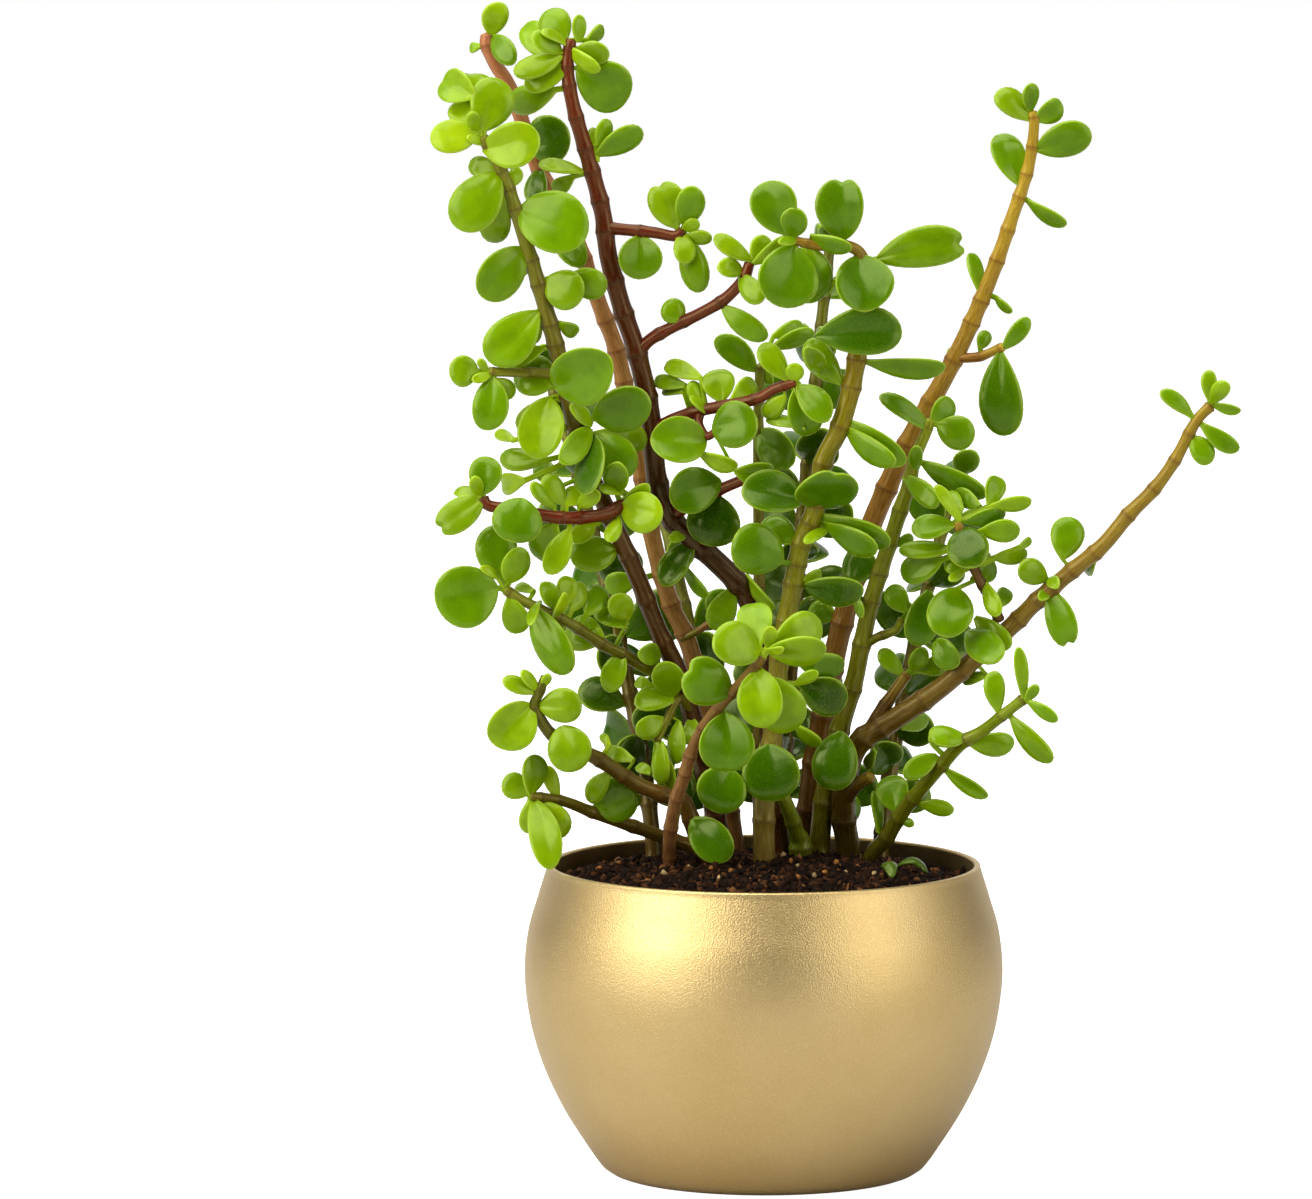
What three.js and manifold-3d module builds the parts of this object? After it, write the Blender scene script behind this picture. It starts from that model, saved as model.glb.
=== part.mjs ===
// A potted jade plant: a dozen rooted cuttings with fleshy round leaves in a gold lacquered bowl pot.
// Millimetres, +Z up. The origin is the centre of the pot's flat base and the front looks along -Y.
import * as THREE from 'three';
import { mergeVertices } from 'three/addons/utils/BufferGeometryUtils.js';
import Module from 'manifold-3d';

const wasm = await Module();
wasm.setup();

// Driving sizes of the pot and the soil
const POT_HEIGHT = 62.3;
const POT_RADIUS = 48;            // at the belly
const BELLY_HEIGHT = 40;
const BASE_RADIUS = 30;           // of the flat that the pot stands on
const MOUTH_RADIUS = 42.2;        // to the middle of the lip
const WALL = 2.6;
const FLOOR = 4;
const POT_SIDES = 32;
const GAP = 0.3;                  // between two pieces that touch
const SOIL_EDGE = 57.8;           // height of the soil at the wall
const SOIL_RISE = 4;              // how far its middle stands above that
const MOUND = 3;                  // power of the mound's fall towards the wall

// Driving sizes of the plant
const BURIED = 12;                // length of each stem under the soil's surface
const STEM_SIDES = 6;
const SHOOT_SIDES = 5;
const BLADE_THICKNESS = 1.6;      // of a full-grown blade
const THINNEST = 0.8;             // of a blade at its tip
const STALK_WIDTH = 1.3;
const YOUNG = 3;                   // width up to which a budding leaf is left out of the solids
const SUNK = 0.9;                 // how far a leaf's root reaches past the middle of its stem
const NEAR_STEM = 3.5;            // a blade that starts within this of its stem's middle needs no stalk
const ARCH = 0.06;                // how far a blade's middle rises, as a share of its length
const CLEARANCE = 0.35;           // kept between a blade and the other stems and their blades

const LEAF_GREEN = 0x6f9a1d;
const BARK_BROWN = 0x5f4526;
const POT_GOLD = 0xc3a56b;
const SOIL_BROWN = 0x2c1d14;

// The shoots are set out as they show from here, looking along +Y. A place [x, z, depth] is where a
// point shows in the upright plane through the pot's axis, and how far behind that plane it lies.
const EYE = new THREE.Vector3(-21.6, -1800, 311);

function place([x, z, depth]) {
  return new THREE.Vector3(x, 0, z).sub(EYE).multiplyScalar(1 + depth / -EYE.y).add(EYE);
}

// Each cutting is a list of shoots, the one that stands in the soil first. A shoot has the places of
// its route, its diameters spread evenly along the route, and its leaves, each as [base x, base z,
// tip x, tip z, width, depth from base to tip, turn of the face in degrees, base's depth before or
// behind its stem].
const CUTTINGS = {
  stem_front: [
    {
      route: [
        [-18.8, 61.4, 2], [-18.8, 67.6, -2], [-17.6, 74.7, -7], [-16, 79.7, -11], [-14, 86, -14],
        [-10.2, 92.4, -18], [-4.6, 98.7, -22], [-0.2, 103.9, -25]
      ],
      girth: [2.7, 2.9, 2.6, 2.3, 2],
      leaves: [
        [-6.6, 96.6, -15.8, 101.8, 9.8, -4, 0], [-0.8, 105.2, -10.4, 106.8, 8.6, -4, 20],
        [-1, 106, -2.3, 114.2, 7.2, 2, 0], [0.8, 105.2, 12.5, 106, 6.6, -3, 25],
        [1.8, 106.6, 11.5, 110.8, 8, 4, 0], [0.7, 106.2, 1.5, 110.2, 3, -2, 0],
        [0.5, 105.5, 4, 105.8, 1.8, -4, 30], [-1.3, 101.4, 0.2, 89.6, 9.2, -3, 0],
        [1.2, 99.8, 5.6, 88.9, 9.6, 2, 0], [-7.8, 92.7, -7.6, 80.7, 11.2, -2, 0]
      ],
    },
  ],
  stem_centre: [
    {
      route: [
        [0.1, 62.8, 4], [0.2, 74.7, 4], [1.6, 86.8, 3], [3, 102.1, 1], [5, 114, -1], [7.3, 126.1, -3],
        [10.1, 133.5, -4], [11.9, 143.3, -5], [15.1, 150.1, -6], [17.9, 160.6, -6], [19.5, 172, -6],
        [20, 180, -7], [19, 184.8, -8], [16, 186.4, -9], [11.5, 186.3, -10], [6.3, 187.3, -10]
      ],
      girth: [4.5, 4.2, 4, 3.9, 3.8, 4, 3.6, 2.6, 2.1, 1.9],
      leaves: [
        [-6.5, 81.4, -10.2, 72.7, 10.2, -2, 0, -6], [1, 86.3, 1.8, 74.7, 11.8, -3, 0, -3],
        [7.2, 98.3, 16.6, 94.6, 8, 0, 10], [6.6, 98.6, 10.9, 101, 2.6, -3, 10],
        [7, 102.8, 16.2, 101.8, 5.2, 1, 25], [6.6, 90, 11.2, 86, 2.6, 2, 50],
        [8, 118.3, 20, 117.5, 6.2, -3, 25], [7.8, 119.5, 11.5, 121, 2.6, 2, 20],
        [10.5, 134, 14.6, 142.2, 12.8, -2, 10], [7.8, 135.4, -4.6, 137.4, 8.6, -3, 20],
        [11.5, 132.5, 25.3, 126.6, 5, -2, 35], [12.3, 130.8, 22.8, 125.8, 4.4, -5, 45],
        [12.5, 129.5, 8, 126.8, 2.2, -5, 30], [6.3, 126.8, 0, 131.6, 6, 4, 10],
        [3.7, 123, -5.8, 128.6, 10.4, -2, 0, -3], [16.5, 151.3, 28.3, 142.8, 5.6, -2, 15],
        [16.3, 150, 26.3, 143, 4.6, -5, 30], [10.2, 168.3, 27.5, 169.2, 9.8, -1, 0, -4],
        [20.3, 163.3, 36.2, 162.2, 4.8, 0, 20], [15.4, 158.8, 8.6, 167.6, 6, 1, 10],
        [11, 161.4, 8, 166.7, 4, -2, 10], [5.8, 186.5, 3, 174.1, 12.4, -4, 0],
        [8.2, 186.5, 9.4, 174.7, 9, 0, 0], [13.9, 179.3, 11.4, 176.6, 3, 1, 10],
        [4, 188.8, -0.3, 199, 9.4, 1, 0], [6, 188.3, 6, 194.1, 5.6, -2, 0],
        [9.2, 188.4, 17.5, 186, 3, -3, 45], [15.8, 187.6, 15.4, 200.2, 9.8, 0, 0],
        [18.9, 184.4, 20, 173.2, 11.8, -4, 0], [22.4, 183.7, 40.4, 187, 8.2, -1, 10],
        [6.2, 187.3, 2.7, 187, 2, -4, 20]
      ],
    },
  ],
  stem_leader: [
    {
      route: [
        [2.8, 65, 16], [1.2, 92, 14], [-0.4, 107, 11], [-4, 117, 10], [-12, 125.5, 8], [-18.6, 132, 7],
        [-21.4, 139.5, 6], [-22.8, 153, 5], [-25.4, 165, 4], [-28.4, 174, 3], [-31, 184, 2],
        [-32.2, 193, 2], [-35, 203.5, 1], [-38, 214, 0], [-39.2, 222, 0], [-38.5, 227.3, 0]
      ],
      girth: [5, 4.8, 4.6, 4.4, 4.2, 4, 3.8, 3.4, 2.8, 2.2],
      leaves: [
        [-37, 226.8, -36.9, 232.4, 2.9, 0, 20], [-35.3, 227.3, -32, 229.9, 3, 2, 30],
        [-37.2, 225.5, -30.8, 224.2, 4.8, -2, 15], [-38.5, 225.5, -32.6, 221.3, 3.4, -4, 30],
        [-39.8, 227, -43.2, 233.3, 6.8, 3, 0], [-39.3, 226.3, -44.5, 229, 2.1, -2, 40],
        [-42.5, 223.5, -47.8, 230.2, 6, 6, 0], [-40.6, 225, -46.3, 228.5, 4.2, 0, 15],
        [-40.2, 224.2, -49.8, 220.8, 4.8, 2, 25], [-39.2, 222, -46.8, 217.8, 5.6, -4, 10],
        [-41.5, 217.5, -51, 214.5, 6, 6, 10], [-37.3, 221.8, -27.5, 214.8, 10.6, -1, 5],
        [-33.5, 204.5, -24.3, 209.6, 5.6, -1, 20], [-33.2, 206.5, -31.3, 211.2, 3.6, -2, 10],
        [-33.4, 203, -34.3, 210, 2.6, 1, 20], [-36.3, 201, -45, 202.6, 3, 1, 35],
        [-38, 200.3, -42, 197.5, 3.6, 3, 0], [-14, 126.8, -20.3, 118.2, 6, -3, 15],
        [-15.8, 122, -11.2, 116, 2.6, -2, 45], [-6.2, 117.8, -10, 109.5, 6, 1, 0],
        [-3.5, 120.5, 2.3, 113.6, 2.6, -3, 40]
      ],
    },
    {
      route: [
        [-31.3, 189.9, 2], [-28, 189.6, 1], [-22, 189, 0], [-17.8, 188.3, -1], [-16.3, 189.3, -1]
      ],
      girth: [2.6, 2.4, 2],
      leaves: [
        [-24.8, 188.4, -25, 179.6, 8.9, -2, 0], [-17.5, 190, -21.3, 199, 7.6, 1, 0],
        [-15.8, 190.5, -14.3, 198.6, 6, 0, 10], [-16, 189.7, -13.2, 191.5, 3, -2, 10],
        [-15.3, 188.3, -10.4, 187.8, 3.2, -1, 20], [-16.7, 188.8, -15.5, 182.7, 4.5, -3, 0],
        [-15.3, 187.8, -12.8, 177, 5.8, -1, 10]
      ],
    },
    {
      route: [
        [-25, 165.3, 4], [-22.5, 167.8, 3], [-18, 170.3, 2], [-12.5, 173, 0], [-8.5, 175.3, -1],
        [-6, 177.5, -2], [-4, 180, -3], [-3, 182.8, -3]
      ],
      girth: [2.6, 2.5, 2.4, 2.2],
      leaves: [
        [-16.3, 171.8, -20, 175, 5.3, 0, 0], [-8.3, 174.2, 0.6, 167.8, 4.6, -2, 20],
        [-2.6, 183.4, -10, 188.4, 3.6, 0, 25], [-4.6, 181.2, -9.5, 182, 4.2, -2, 10],
        [-2.2, 183.3, 0.5, 188.3, 4.6, 1, 10], [-2, 183, 4.5, 188.3, 3.2, 0, 25],
        [-4.7, 180.5, -0.5, 175.6, 4.5, 2, 10]
      ],
    },
    {
      route: [
        [-22, 149.5, 5], [-18, 151.7, 3], [-12.8, 153.4, 1], [-7.8, 154.4, -1], [-1.4, 155.8, -3],
        [2.2, 157.8, -4], [6.2, 159, -5]
      ],
      girth: [2.8, 2.6, 2.4, 2.2, 2],
      leaves: [
        [6, 159.3, 6.3, 163, 3.8, -1, 0], [6.8, 158.3, 12.8, 151.2, 6.2, -4, 0],
        [6, 157.5, 9.3, 148.5, 7, 1, 0], [4.3, 156.3, -0.3, 152.3, 4, 2, 10],
        [8.5, 149.9, 0.3, 151.7, 2.6, 3, 30], [-8.5, 155.2, -9.3, 161.7, 6.8, 3, 0],
        [-6.5, 155.5, -2.8, 158.8, 4.4, 5, 0], [-12.3, 154.2, -14.8, 159.3, 3.2, 0, 30],
        [-11.5, 153, -15, 156.3, 2.6, -1, 30], [-12.6, 159.8, -19.8, 162.6, 3.8, 5, 15],
        [-15.6, 158.3, -21.9, 159.4, 3.2, 4, 15], [-16, 157.2, -20.3, 157.3, 2.4, 6, 20],
        [4.6, 159.6, -0.6, 166.8, 5, 1, 10]
      ],
    },
    {
      route: [
        [-12.8, 153, 1], [-13, 150.8, 0], [-11.5, 148.3, -2], [-9.8, 149.2, -3]
      ],
      girth: [1.8, 1.6],
      leaves: [
        [-11.6, 146.9, -22.8, 147.6, 9.6, -3, 0], [-10.3, 149.6, -1.2, 151, 9.6, -4, 0],
        [-12.8, 145, -5.2, 142.3, 3.8, -1, 25], [-5.9, 141.3, 1.5, 140.6, 4.8, -4, 25]
      ],
    },
    {
      route: [
        [-18.6, 132, 7], [-15.5, 134.2, 5], [-12.8, 135.4, 4], [-8.8, 137.6, 2], [-3.8, 139.7, 0]
      ],
      girth: [2.6, 2.5, 2.3],
      leaves: [
        [-8.7, 139.3, -18.8, 135.2, 9, -4, -15], [-9, 136.3, -11.5, 126.5, 11, -3, 0],
        [-15.5, 129, -19, 127.4, 2.6, -2, 10]
      ],
    },
    {
      route: [
        [-20.6, 134.3, 6], [-25, 135, 0], [-28.5, 134.3, -3], [-32, 132.6, -5], [-38.4, 131.9, -7],
        [-44, 132.4, -8], [-50, 133.6, -9], [-54.9, 134.3, -9], [-56.2, 135.8, -9]
      ],
      girth: [2.8, 2.7, 2.6, 2.2],
      leaves: [
        [-29.5, 137.4, -29, 143.2, 5.4, -5, 0], [-27.2, 136.6, -33, 137.8, 2, -5, 50],
        [-27.8, 135.5, -23, 138.7, 3.5, -3, 20], [-28.6, 134, -20.2, 132.4, 8.4, -6, 0],
        [-29, 131.7, -31, 127, 3.4, -4, 10], [-48.2, 135.8, -50.8, 127.1, 10.2, -3, 0, -3],
        [-56.3, 135.9, -65.3, 129.4, 6.6, -2, 15], [-56.2, 136.6, -55.5, 144.3, 6.8, 1, 0],
        [-56.6, 136.8, -58, 140.3, 2.8, -3, 0], [-56.5, 136.2, -62, 137, 2.4, 2, 40],
        [-41.8, 134, -46.6, 139, 3, -2, 20], [-40.2, 134.8, -43.8, 140.5, 4.5, 0, 20],
        [-39.5, 134.6, -36.3, 137.6, 4.6, 3, 0], [-37, 134.3, -34.2, 136.8, 3.6, 5, 0],
        [-41.5, 130.8, -45.4, 123.8, 6.4, 4, 0], [-39, 129.5, -43.3, 121, 5.2, 1, 10]
      ],
    },
  ],
  stem_left: [
    {
      route: [
        [-8.4, 65, 18], [-12.2, 82.7, 15], [-16.4, 98.9, 11], [-21, 109, 8], [-26.1, 121.9, 4],
        [-31.4, 133.6, 2], [-36.2, 144.3, 0], [-39.8, 159.4, -3], [-42.8, 171, -4], [-46, 182, -5],
        [-49.8, 194.5, -6], [-52, 200.5, -7], [-56, 208, -8]
      ],
      girth: [4.2, 4, 3.8, 3.7, 3.6, 3.2, 2.6, 2.2],
      leaves: [
        [-57, 209, -66.5, 207.3, 7, -1, 10], [-57.5, 210, -61.5, 214.8, 5.6, 1, 0],
        [-57.2, 209.5, -58.5, 213, 3, -3, 0], [-55.8, 209.3, -53.3, 219.8, 9, 2, 0],
        [-56, 213, -58.8, 220.3, 6, 5, 0], [-57.5, 216, -63, 218.8, 7, 7, 0],
        [-56, 205.5, -44.6, 207.8, 9.4, -4, 0], [-56.3, 206.8, -59.3, 208, 2, -2, 20],
        [-53, 200.8, -61.3, 189.8, 10, -2, 0], [-52.3, 200.2, -58.8, 202.8, 4.4, 3, 10],
        [-51, 198, -49, 202, 3, 2, 10], [-52.3, 196.8, -54.3, 186.8, 6.4, 3, 0],
        [-48.7, 193.8, -35.5, 187.8, 12.6, -4, 0], [-48.2, 186, -56.3, 176, 9, -2, 0],
        [-45, 173.3, -55, 163.2, 9.6, -2, 0], [-43.4, 179.8, -36.6, 175.2, 8.2, -3, 0],
        [-38.5, 180.6, -31.6, 177.2, 6.4, 0, 0], [-46.5, 183.5, -49.3, 180.8, 3, 4, 10],
        [-44.8, 172, -48, 167.3, 5, 4, 0], [-44, 165.8, -51.5, 162.8, 4.4, 3, 10],
        [-41, 171, -37.3, 168.8, 3.2, 3, 0], [-41.8, 158.3, -30.6, 164.8, 11.8, -4, 0],
        [-42.8, 158, -49.3, 162, 8.6, -1, 10], [-42.9, 156, -45.8, 143.7, 9.4, -5, 0],
        [-44, 155, -49, 149.5, 5, 2, 0], [-42, 155.5, -37, 153.6, 4.5, 4, 10],
        [-34.8, 149.8, -40.8, 143.6, 5.6, -2, 0], [-33.8, 148.3, -34.8, 137.3, 8, -4, 0],
        [-33.5, 148.8, -26.5, 140.3, 8.4, -2, 10], [-34.5, 150.5, -38.8, 154.8, 2.6, -3, 50],
        [-34, 151.8, -22.8, 156, 9.3, -3, 0], [-31, 149.5, -24.3, 147, 5.5, 5, 0],
        [-43.5, 143.5, -52.8, 144, 5, 4, 10], [-50, 147.5, -53.7, 149, 2.5, 5, 10],
        [-41, 138, -45.5, 142.5, 4.5, 8, 0], [-47.5, 139.5, -52.3, 138.5, 4.6, 8, 0],
        [-29.5, 125.3, -38.8, 124, 7.5, -2, 10], [-34, 130.5, -38.5, 127.5, 4, 2, 20]
      ],
    },
    {
      route: [
        [-40, 160.5, -3], [-45, 161, -4], [-49, 161, -5], [-54.8, 161.2, -6]
      ],
      girth: [2.2, 2, 1.8],
      leaves: [
        [-57.2, 161.3, -62.9, 161.8, 6.4, -1, 0], [-55.5, 161.6, -57, 163.8, 1.8, -1, 0],
        [-54.8, 160.6, -58.4, 159.4, 2, -2, 20], [-54.2, 160, -55.6, 149.4, 7.4, -2, 0],
        [-53.8, 159.6, -50, 156.2, 4, 2, 0]
      ],
    },
    {
      route: [
        [-17, 100.5, 11], [-22.9, 101.5, 7], [-28.4, 104.5, 3], [-32.6, 106.6, 1], [-39, 110.8, -2],
        [-46.8, 114.5, -5], [-51.8, 117.5, -6]
      ],
      girth: [2.8, 2.6, 2.4, 2.2, 2],
      leaves: [
        [-53.2, 117.8, -65.9, 115.4, 12.6, -2, 0], [-52.3, 119.5, -54.2, 130.5, 8.6, 2, 0],
        [-51, 119, -48.5, 126.3, 5.6, 0, 20], [-53.2, 119.8, -56.8, 122, 2, -2, 20],
        [-51, 116, -48.8, 108.7, 5.5, 1, 10], [-46, 113.5, -39, 100.6, 7.6, -5, 10],
        [-44.9, 114.9, -46.6, 110.2, 2.2, -8, 30], [-39.5, 110.8, -44.5, 110, 4.5, 2, 20],
        [-32, 107.5, -39.8, 108.3, 7.6, -3, 0], [-28.3, 104.7, -31.2, 96.8, 5, -2, 10],
        [-42, 114, -44.5, 119, 4, -2, 10], [-40, 114, -39.5, 120.3, 4.6, 1, 10],
        [-38.5, 113.3, -36.5, 119, 4, 3, 10], [-42.3, 111.8, -39.8, 117, 2, -5, 30],
        [-35.5, 112.5, -32.5, 118, 5.5, 4, 0], [-46, 117, -49.6, 118.2, 2.2, 6, 20],
        [-27, 112, -30.5, 116.5, 5.4, 0, 0], [-27.2, 110, -34, 113.3, 4, 2, 20],
        [-21, 104, -25.3, 105, 4.6, -2, 0]
      ],
    },
    {
      route: [
        [-14.5, 93, 12], [-17, 95.5, 9], [-19.5, 91, 7], [-21.5, 87, 6]
      ],
      girth: [2, 1.8, 1.6],
      leaves: [
        [-18, 96.2, -20.5, 103.4, 6.6, -1, 0], [-17.5, 95.8, -26, 94.4, 5.4, -2, 15],
        [-22.8, 98.3, -25.8, 98.7, 2.6, 2, 10], [-20.3, 91.5, -25.6, 88.7, 4.8, -1, 0],
        [-17, 91, -17.6, 82.3, 4.2, -1, 25], [-14.5, 91.5, -14.2, 86.3, 3.4, 0, 20],
        [-20.5, 86.8, -20.5, 78.2, 4, -1, 20], [-18.6, 82.2, -18.8, 77.2, 2.8, 1, 10],
        [-22.3, 80.3, -25.4, 82, 2.4, 3, 20]
      ],
    },
  ],
  stem_low_left: [
    {
      route: [
        [-11, 61.4, 5], [-13.4, 67.6, 3], [-16, 74.7, 1], [-19.2, 75.8, 0], [-24.8, 77.9, -2],
        [-29.8, 81.1, -4], [-33.4, 83.5, -5], [-38.5, 86, -6], [-42.6, 88.4, -8], [-45, 91.8, -9],
        [-46, 94.1, -9], [-44.9, 97, -10], [-43.8, 100, -10]
      ],
      girth: [3.6, 3.4, 3.2, 3, 2.6, 2.2, 1.8],
      leaves: [
        [-46.6, 94.3, -54.6, 86.6, 9.4, -2, 0], [-45, 94, -36.4, 93.8, 7, -3, 10],
        [-40.6, 90, -37.4, 80.9, 9, -2, 0, -2], [-46, 96.8, -52.4, 99.4, 3.4, -1, 20],
        [-45.3, 97.5, -48.6, 101.2, 2.6, -2, 20], [-44.3, 98.3, -43, 100.6, 2, -1, 20],
        [-26, 83, -31.6, 84.8, 3.6, 4, 10], [-31, 86, -32.5, 88.4, 1.8, 4, 10],
        [-31, 80.5, -35, 74.6, 4.4, 3, 10], [-14.3, 71.2, -7, 62.9, 8, -3, 0, -3]
      ],
    },
  ],
  stem_lowest_left: [
    {
      route: [
        [-12, 63.5, 12], [-20.6, 67.7, 8], [-28.4, 70.5, 4], [-34.4, 72.6, 1], [-40.4, 74.9, -4],
        [-46.8, 75.8, -8]
      ],
      girth: [3, 2.8, 2.6, 2.3, 2],
      leaves: [
        [-33.8, 74.2, -25.8, 76.3, 9.6, -3, 0], [-47, 76.2, -45.6, 84.3, 5, 1, 40],
        [-47.2, 76.3, -51.8, 79.2, 5.4, -2, 10], [-41.3, 75.6, -43.6, 82, 3.2, 0, 10],
        [-46, 75, -42.6, 61, 6.5, -7, 10], [-44.5, 74.5, -39.9, 67.6, 6.2, -1, 10],
        [-46.8, 75, -47.4, 68, 3.2, -1, 10]
      ],
    },
  ],
  stem_tan: [
    {
      route: [
        [-5.8, 65.6, 26], [-8.8, 82.7, 26], [-14.6, 105.2, 25], [-18.8, 115, 24], [-22.4, 128.4, 23],
        [-24.8, 143.3, 22], [-27.2, 155.4, 21], [-29.6, 166, 20], [-33, 175, 18], [-37, 186.5, 16],
        [-41, 195, 15], [-45.5, 203, 14], [-48.5, 212, 13], [-51, 218.5, 12], [-53.5, 222.5, 12],
        [-55.2, 226.2, 12], [-55.3, 228.3, 12]
      ],
      girth: [4, 3.8, 3.6, 3.4, 3.2, 3, 2.4],
      leaves: [
        [-54.5, 228.4, -52.2, 234.8, 5.4, -1, 0], [-54, 228, -49.6, 222.8, 4.8, -1, 10],
        [-56.6, 226, -58.6, 225.4, 2.2, 1, 20], [-46.8, 206.5, -38.7, 208.8, 10, -3, 0],
        [-44.5, 202, -45.6, 194.8, 4.8, -1, 0], [-41, 190, -36, 182.6, 6, 0, 0],
        [-25.5, 119.5, -31.8, 118.2, 5, 2, 0]
      ],
    },
    {
      route: [
        [-16.5, 107.5, 24], [-13, 109.3, 22], [-10.5, 111, 21]
      ],
      girth: [1.6, 1.4],
      leaves: [
        [-10.3, 111.5, -7.5, 117.5, 5.5, 0, 0]
      ],
    },
  ],
  stem_thin: [
    {
      route: [
        [-1, 66, 30], [-1, 90, 28], [-1, 120, 24], [-1.2, 150, 18], [-0.8, 162.5, 16]
      ],
      girth: [2.6, 2.5, 2.4, 2.2, 2],
      leaves: [
        [-1.8, 161.5, -9.8, 168, 5.4, 0, 10], [1.5, 166, 10, 169.2, 3.8, 1, 20],
        [1.8, 168.3, 7.6, 170.8, 3.4, 3, 10], [0.8, 162, 1.3, 158.5, 2, 1, 10],
        [-1.2, 149.3, 5.8, 142.7, 7.6, -3, 15]
      ],
    },
  ],
  stem_stub: [
    {
      route: [
        [7.4, 65.4, 14], [6.4, 69, 12], [4.8, 73.7, 9], [3.8, 75.7, 8]
      ],
      girth: [4.6, 3.2, 3, 2.8],
      leaves: [],
    },
  ],
  stem_green: [
    {
      route: [
        [11.2, 65.6, 18], [12.6, 78, 16], [15.2, 89.4, 14], [18, 98.7, 12], [19.4, 105.5, 11],
        [21.2, 114, 10], [23.2, 121.1, 9], [25.2, 127.1, 8], [27.6, 134.6, 7], [28.8, 138, 7],
        [30.2, 144, 6], [32.2, 148.8, 6], [33, 151.5, 6]
      ],
      girth: [4.4, 4.2, 3.8, 3.6, 3.4, 3.2, 3, 2.4, 2],
      leaves: [
        [15.5, 88.9, 13.5, 77, 9.4, -3, 0, -8], [14, 74.3, 19.3, 71.6, 6.4, 2, 10],
        [22.3, 121, 16.2, 124.3, 7.6, 3, 0], [26.5, 126.5, 29.8, 128.2, 2.4, 1, 20],
        [18.4, 116, 19.6, 111.8, 2, -4, 20], [28, 140.3, 34.7, 134.5, 4.2, -3, 20],
        [31.6, 143, 44.5, 136.3, 5, -2, 15], [30.3, 141.3, 30.3, 146.5, 3, -4, 10],
        [32.6, 149.8, 22.9, 156.4, 3.9, -1, 30], [33.5, 151.2, 37.4, 155.8, 5, 2, 10],
        [34.6, 150.6, 41.8, 147.4, 7, -1, 0]
      ],
    },
    {
      route: [
        [19.6, 105.8, 11], [22.5, 107.8, 9], [26.3, 109.3, 8], [27.6, 111.5, 7]
      ],
      girth: [1.9, 1.8, 1.6],
      leaves: [
        [33, 117.3, 30.2, 106.2, 7, -2, 0], [28.6, 113, 25, 118.2, 4.8, 2, 0]
      ],
    },
  ],
  stem_right: [
    {
      route: [
        [8.4, 65.6, 26], [10.2, 82.7, 25], [12.4, 94.9, 24], [15, 108, 23], [19.6, 125.1, 21],
        [23.8, 136.2, 19], [29.4, 148.3, 18], [36.5, 161, 17], [41.3, 171, 16], [45.8, 182, 15],
        [49.3, 192, 14], [52.5, 202, 13], [53.6, 210.5, 12], [53.2, 213, 12]
      ],
      girth: [4.9, 4.7, 4.5, 4.3, 3.6, 3, 2.4, 1.8],
      leaves: [
        [50.8, 198.5, 46.5, 208.3, 6.6, 0, 10], [54, 205.5, 65, 209, 7.2, -2, 10],
        [52.3, 195.5, 60.2, 190.5, 3, -1, 35], [52.6, 211.5, 46, 217, 5.6, 0, 15],
        [52.8, 213.3, 52.8, 218.9, 3.6, 0, 20], [53.8, 211.5, 59, 215, 5, 1, 15],
        [43, 177, 41.3, 184.7, 3.4, 1, 20], [46.3, 176, 49.4, 173, 2, -1, 20],
        [38.3, 163, 37, 166, 2.4, 2, 10], [13.5, 111.5, 9.3, 114.3, 5, 1, 0]
      ],
    },
    {
      route: [
        [37.5, 164, 17], [41, 164, 15], [43.5, 164.4, 14], [47.6, 166.2, 12]
      ],
      girth: [2.2, 2, 1.8],
      leaves: [
        [47.8, 166, 52.8, 172, 3.6, 0, 10], [43, 166, 44.5, 169.4, 3, 1, 10],
        [47, 165.4, 48, 148.3, 9, -2, 0]
      ],
    },
  ],
  stem_long: [
    {
      route: [
        [17, 64.4, 17], [16, 72, 15], [16.5, 80, 12.5], [19.2, 86.7, 10], [26.8, 91.8, 8], [34.5, 97, 6],
        [41.1, 102.6, 4], [49.8, 110.4, 2], [54.9, 115.5, 0], [61.5, 121.2, -2], [67.6, 126.3, -4],
        [72.8, 132.5, -5], [77.8, 137.6, -6], [81.9, 143.3, -7], [86, 151, -8], [89, 154.3, -8]
      ],
      girth: [5, 5, 4.8, 4.4, 4, 3.6, 3.4, 3.2, 2.8, 2.4, 2.2],
      leaves: [
        [44.6, 100.3, 39.8, 98.8, 2.4, 4, 20], [27.3, 89.8, 32.9, 91.6, 3, 5, 20],
        [22.3, 85, 20.5, 81.6, 2.4, 4, 20], [42.3, 111.9, 49.4, 105.8, 5, -4, 10],
        [40.8, 109, 47, 104.6, 7, -1, 0], [34.5, 107.3, 38.9, 102, 5.6, -3, 15],
        [56.5, 119.6, 50.9, 122.2, 5.4, -3, 0], [56.8, 117, 55, 115.4, 2.4, -3, 0],
        [57.2, 119.5, 58.8, 117.8, 2.8, -4, 0], [57.4, 117.2, 61.2, 105.9, 6.2, -2, 10],
        [59.7, 123.6, 61.4, 132.1, 6.8, 2, 10], [66.5, 124.4, 64.4, 120.8, 4, 3, 20],
        [85.3, 152.3, 79, 157.4, 3.2, -1, 20], [89, 155.3, 88.7, 161.6, 3.2, 0, 10],
        [89.2, 155, 92.3, 159.3, 3.6, -2, 0], [89.5, 154.8, 95.2, 153.4, 2.2, -1, 20],
        [87.2, 150.8, 94.8, 145.4, 3.8, -1, 10], [85.5, 148.2, 89, 142.7, 4.8, -1, 0]
      ],
    },
    {
      route: [
        [16, 74, 14], [18.5, 78, 11], [21.5, 79.8, 9]
      ],
      girth: [2.8, 2.8, 2.6],
      leaves: [],
    },
    {
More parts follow.
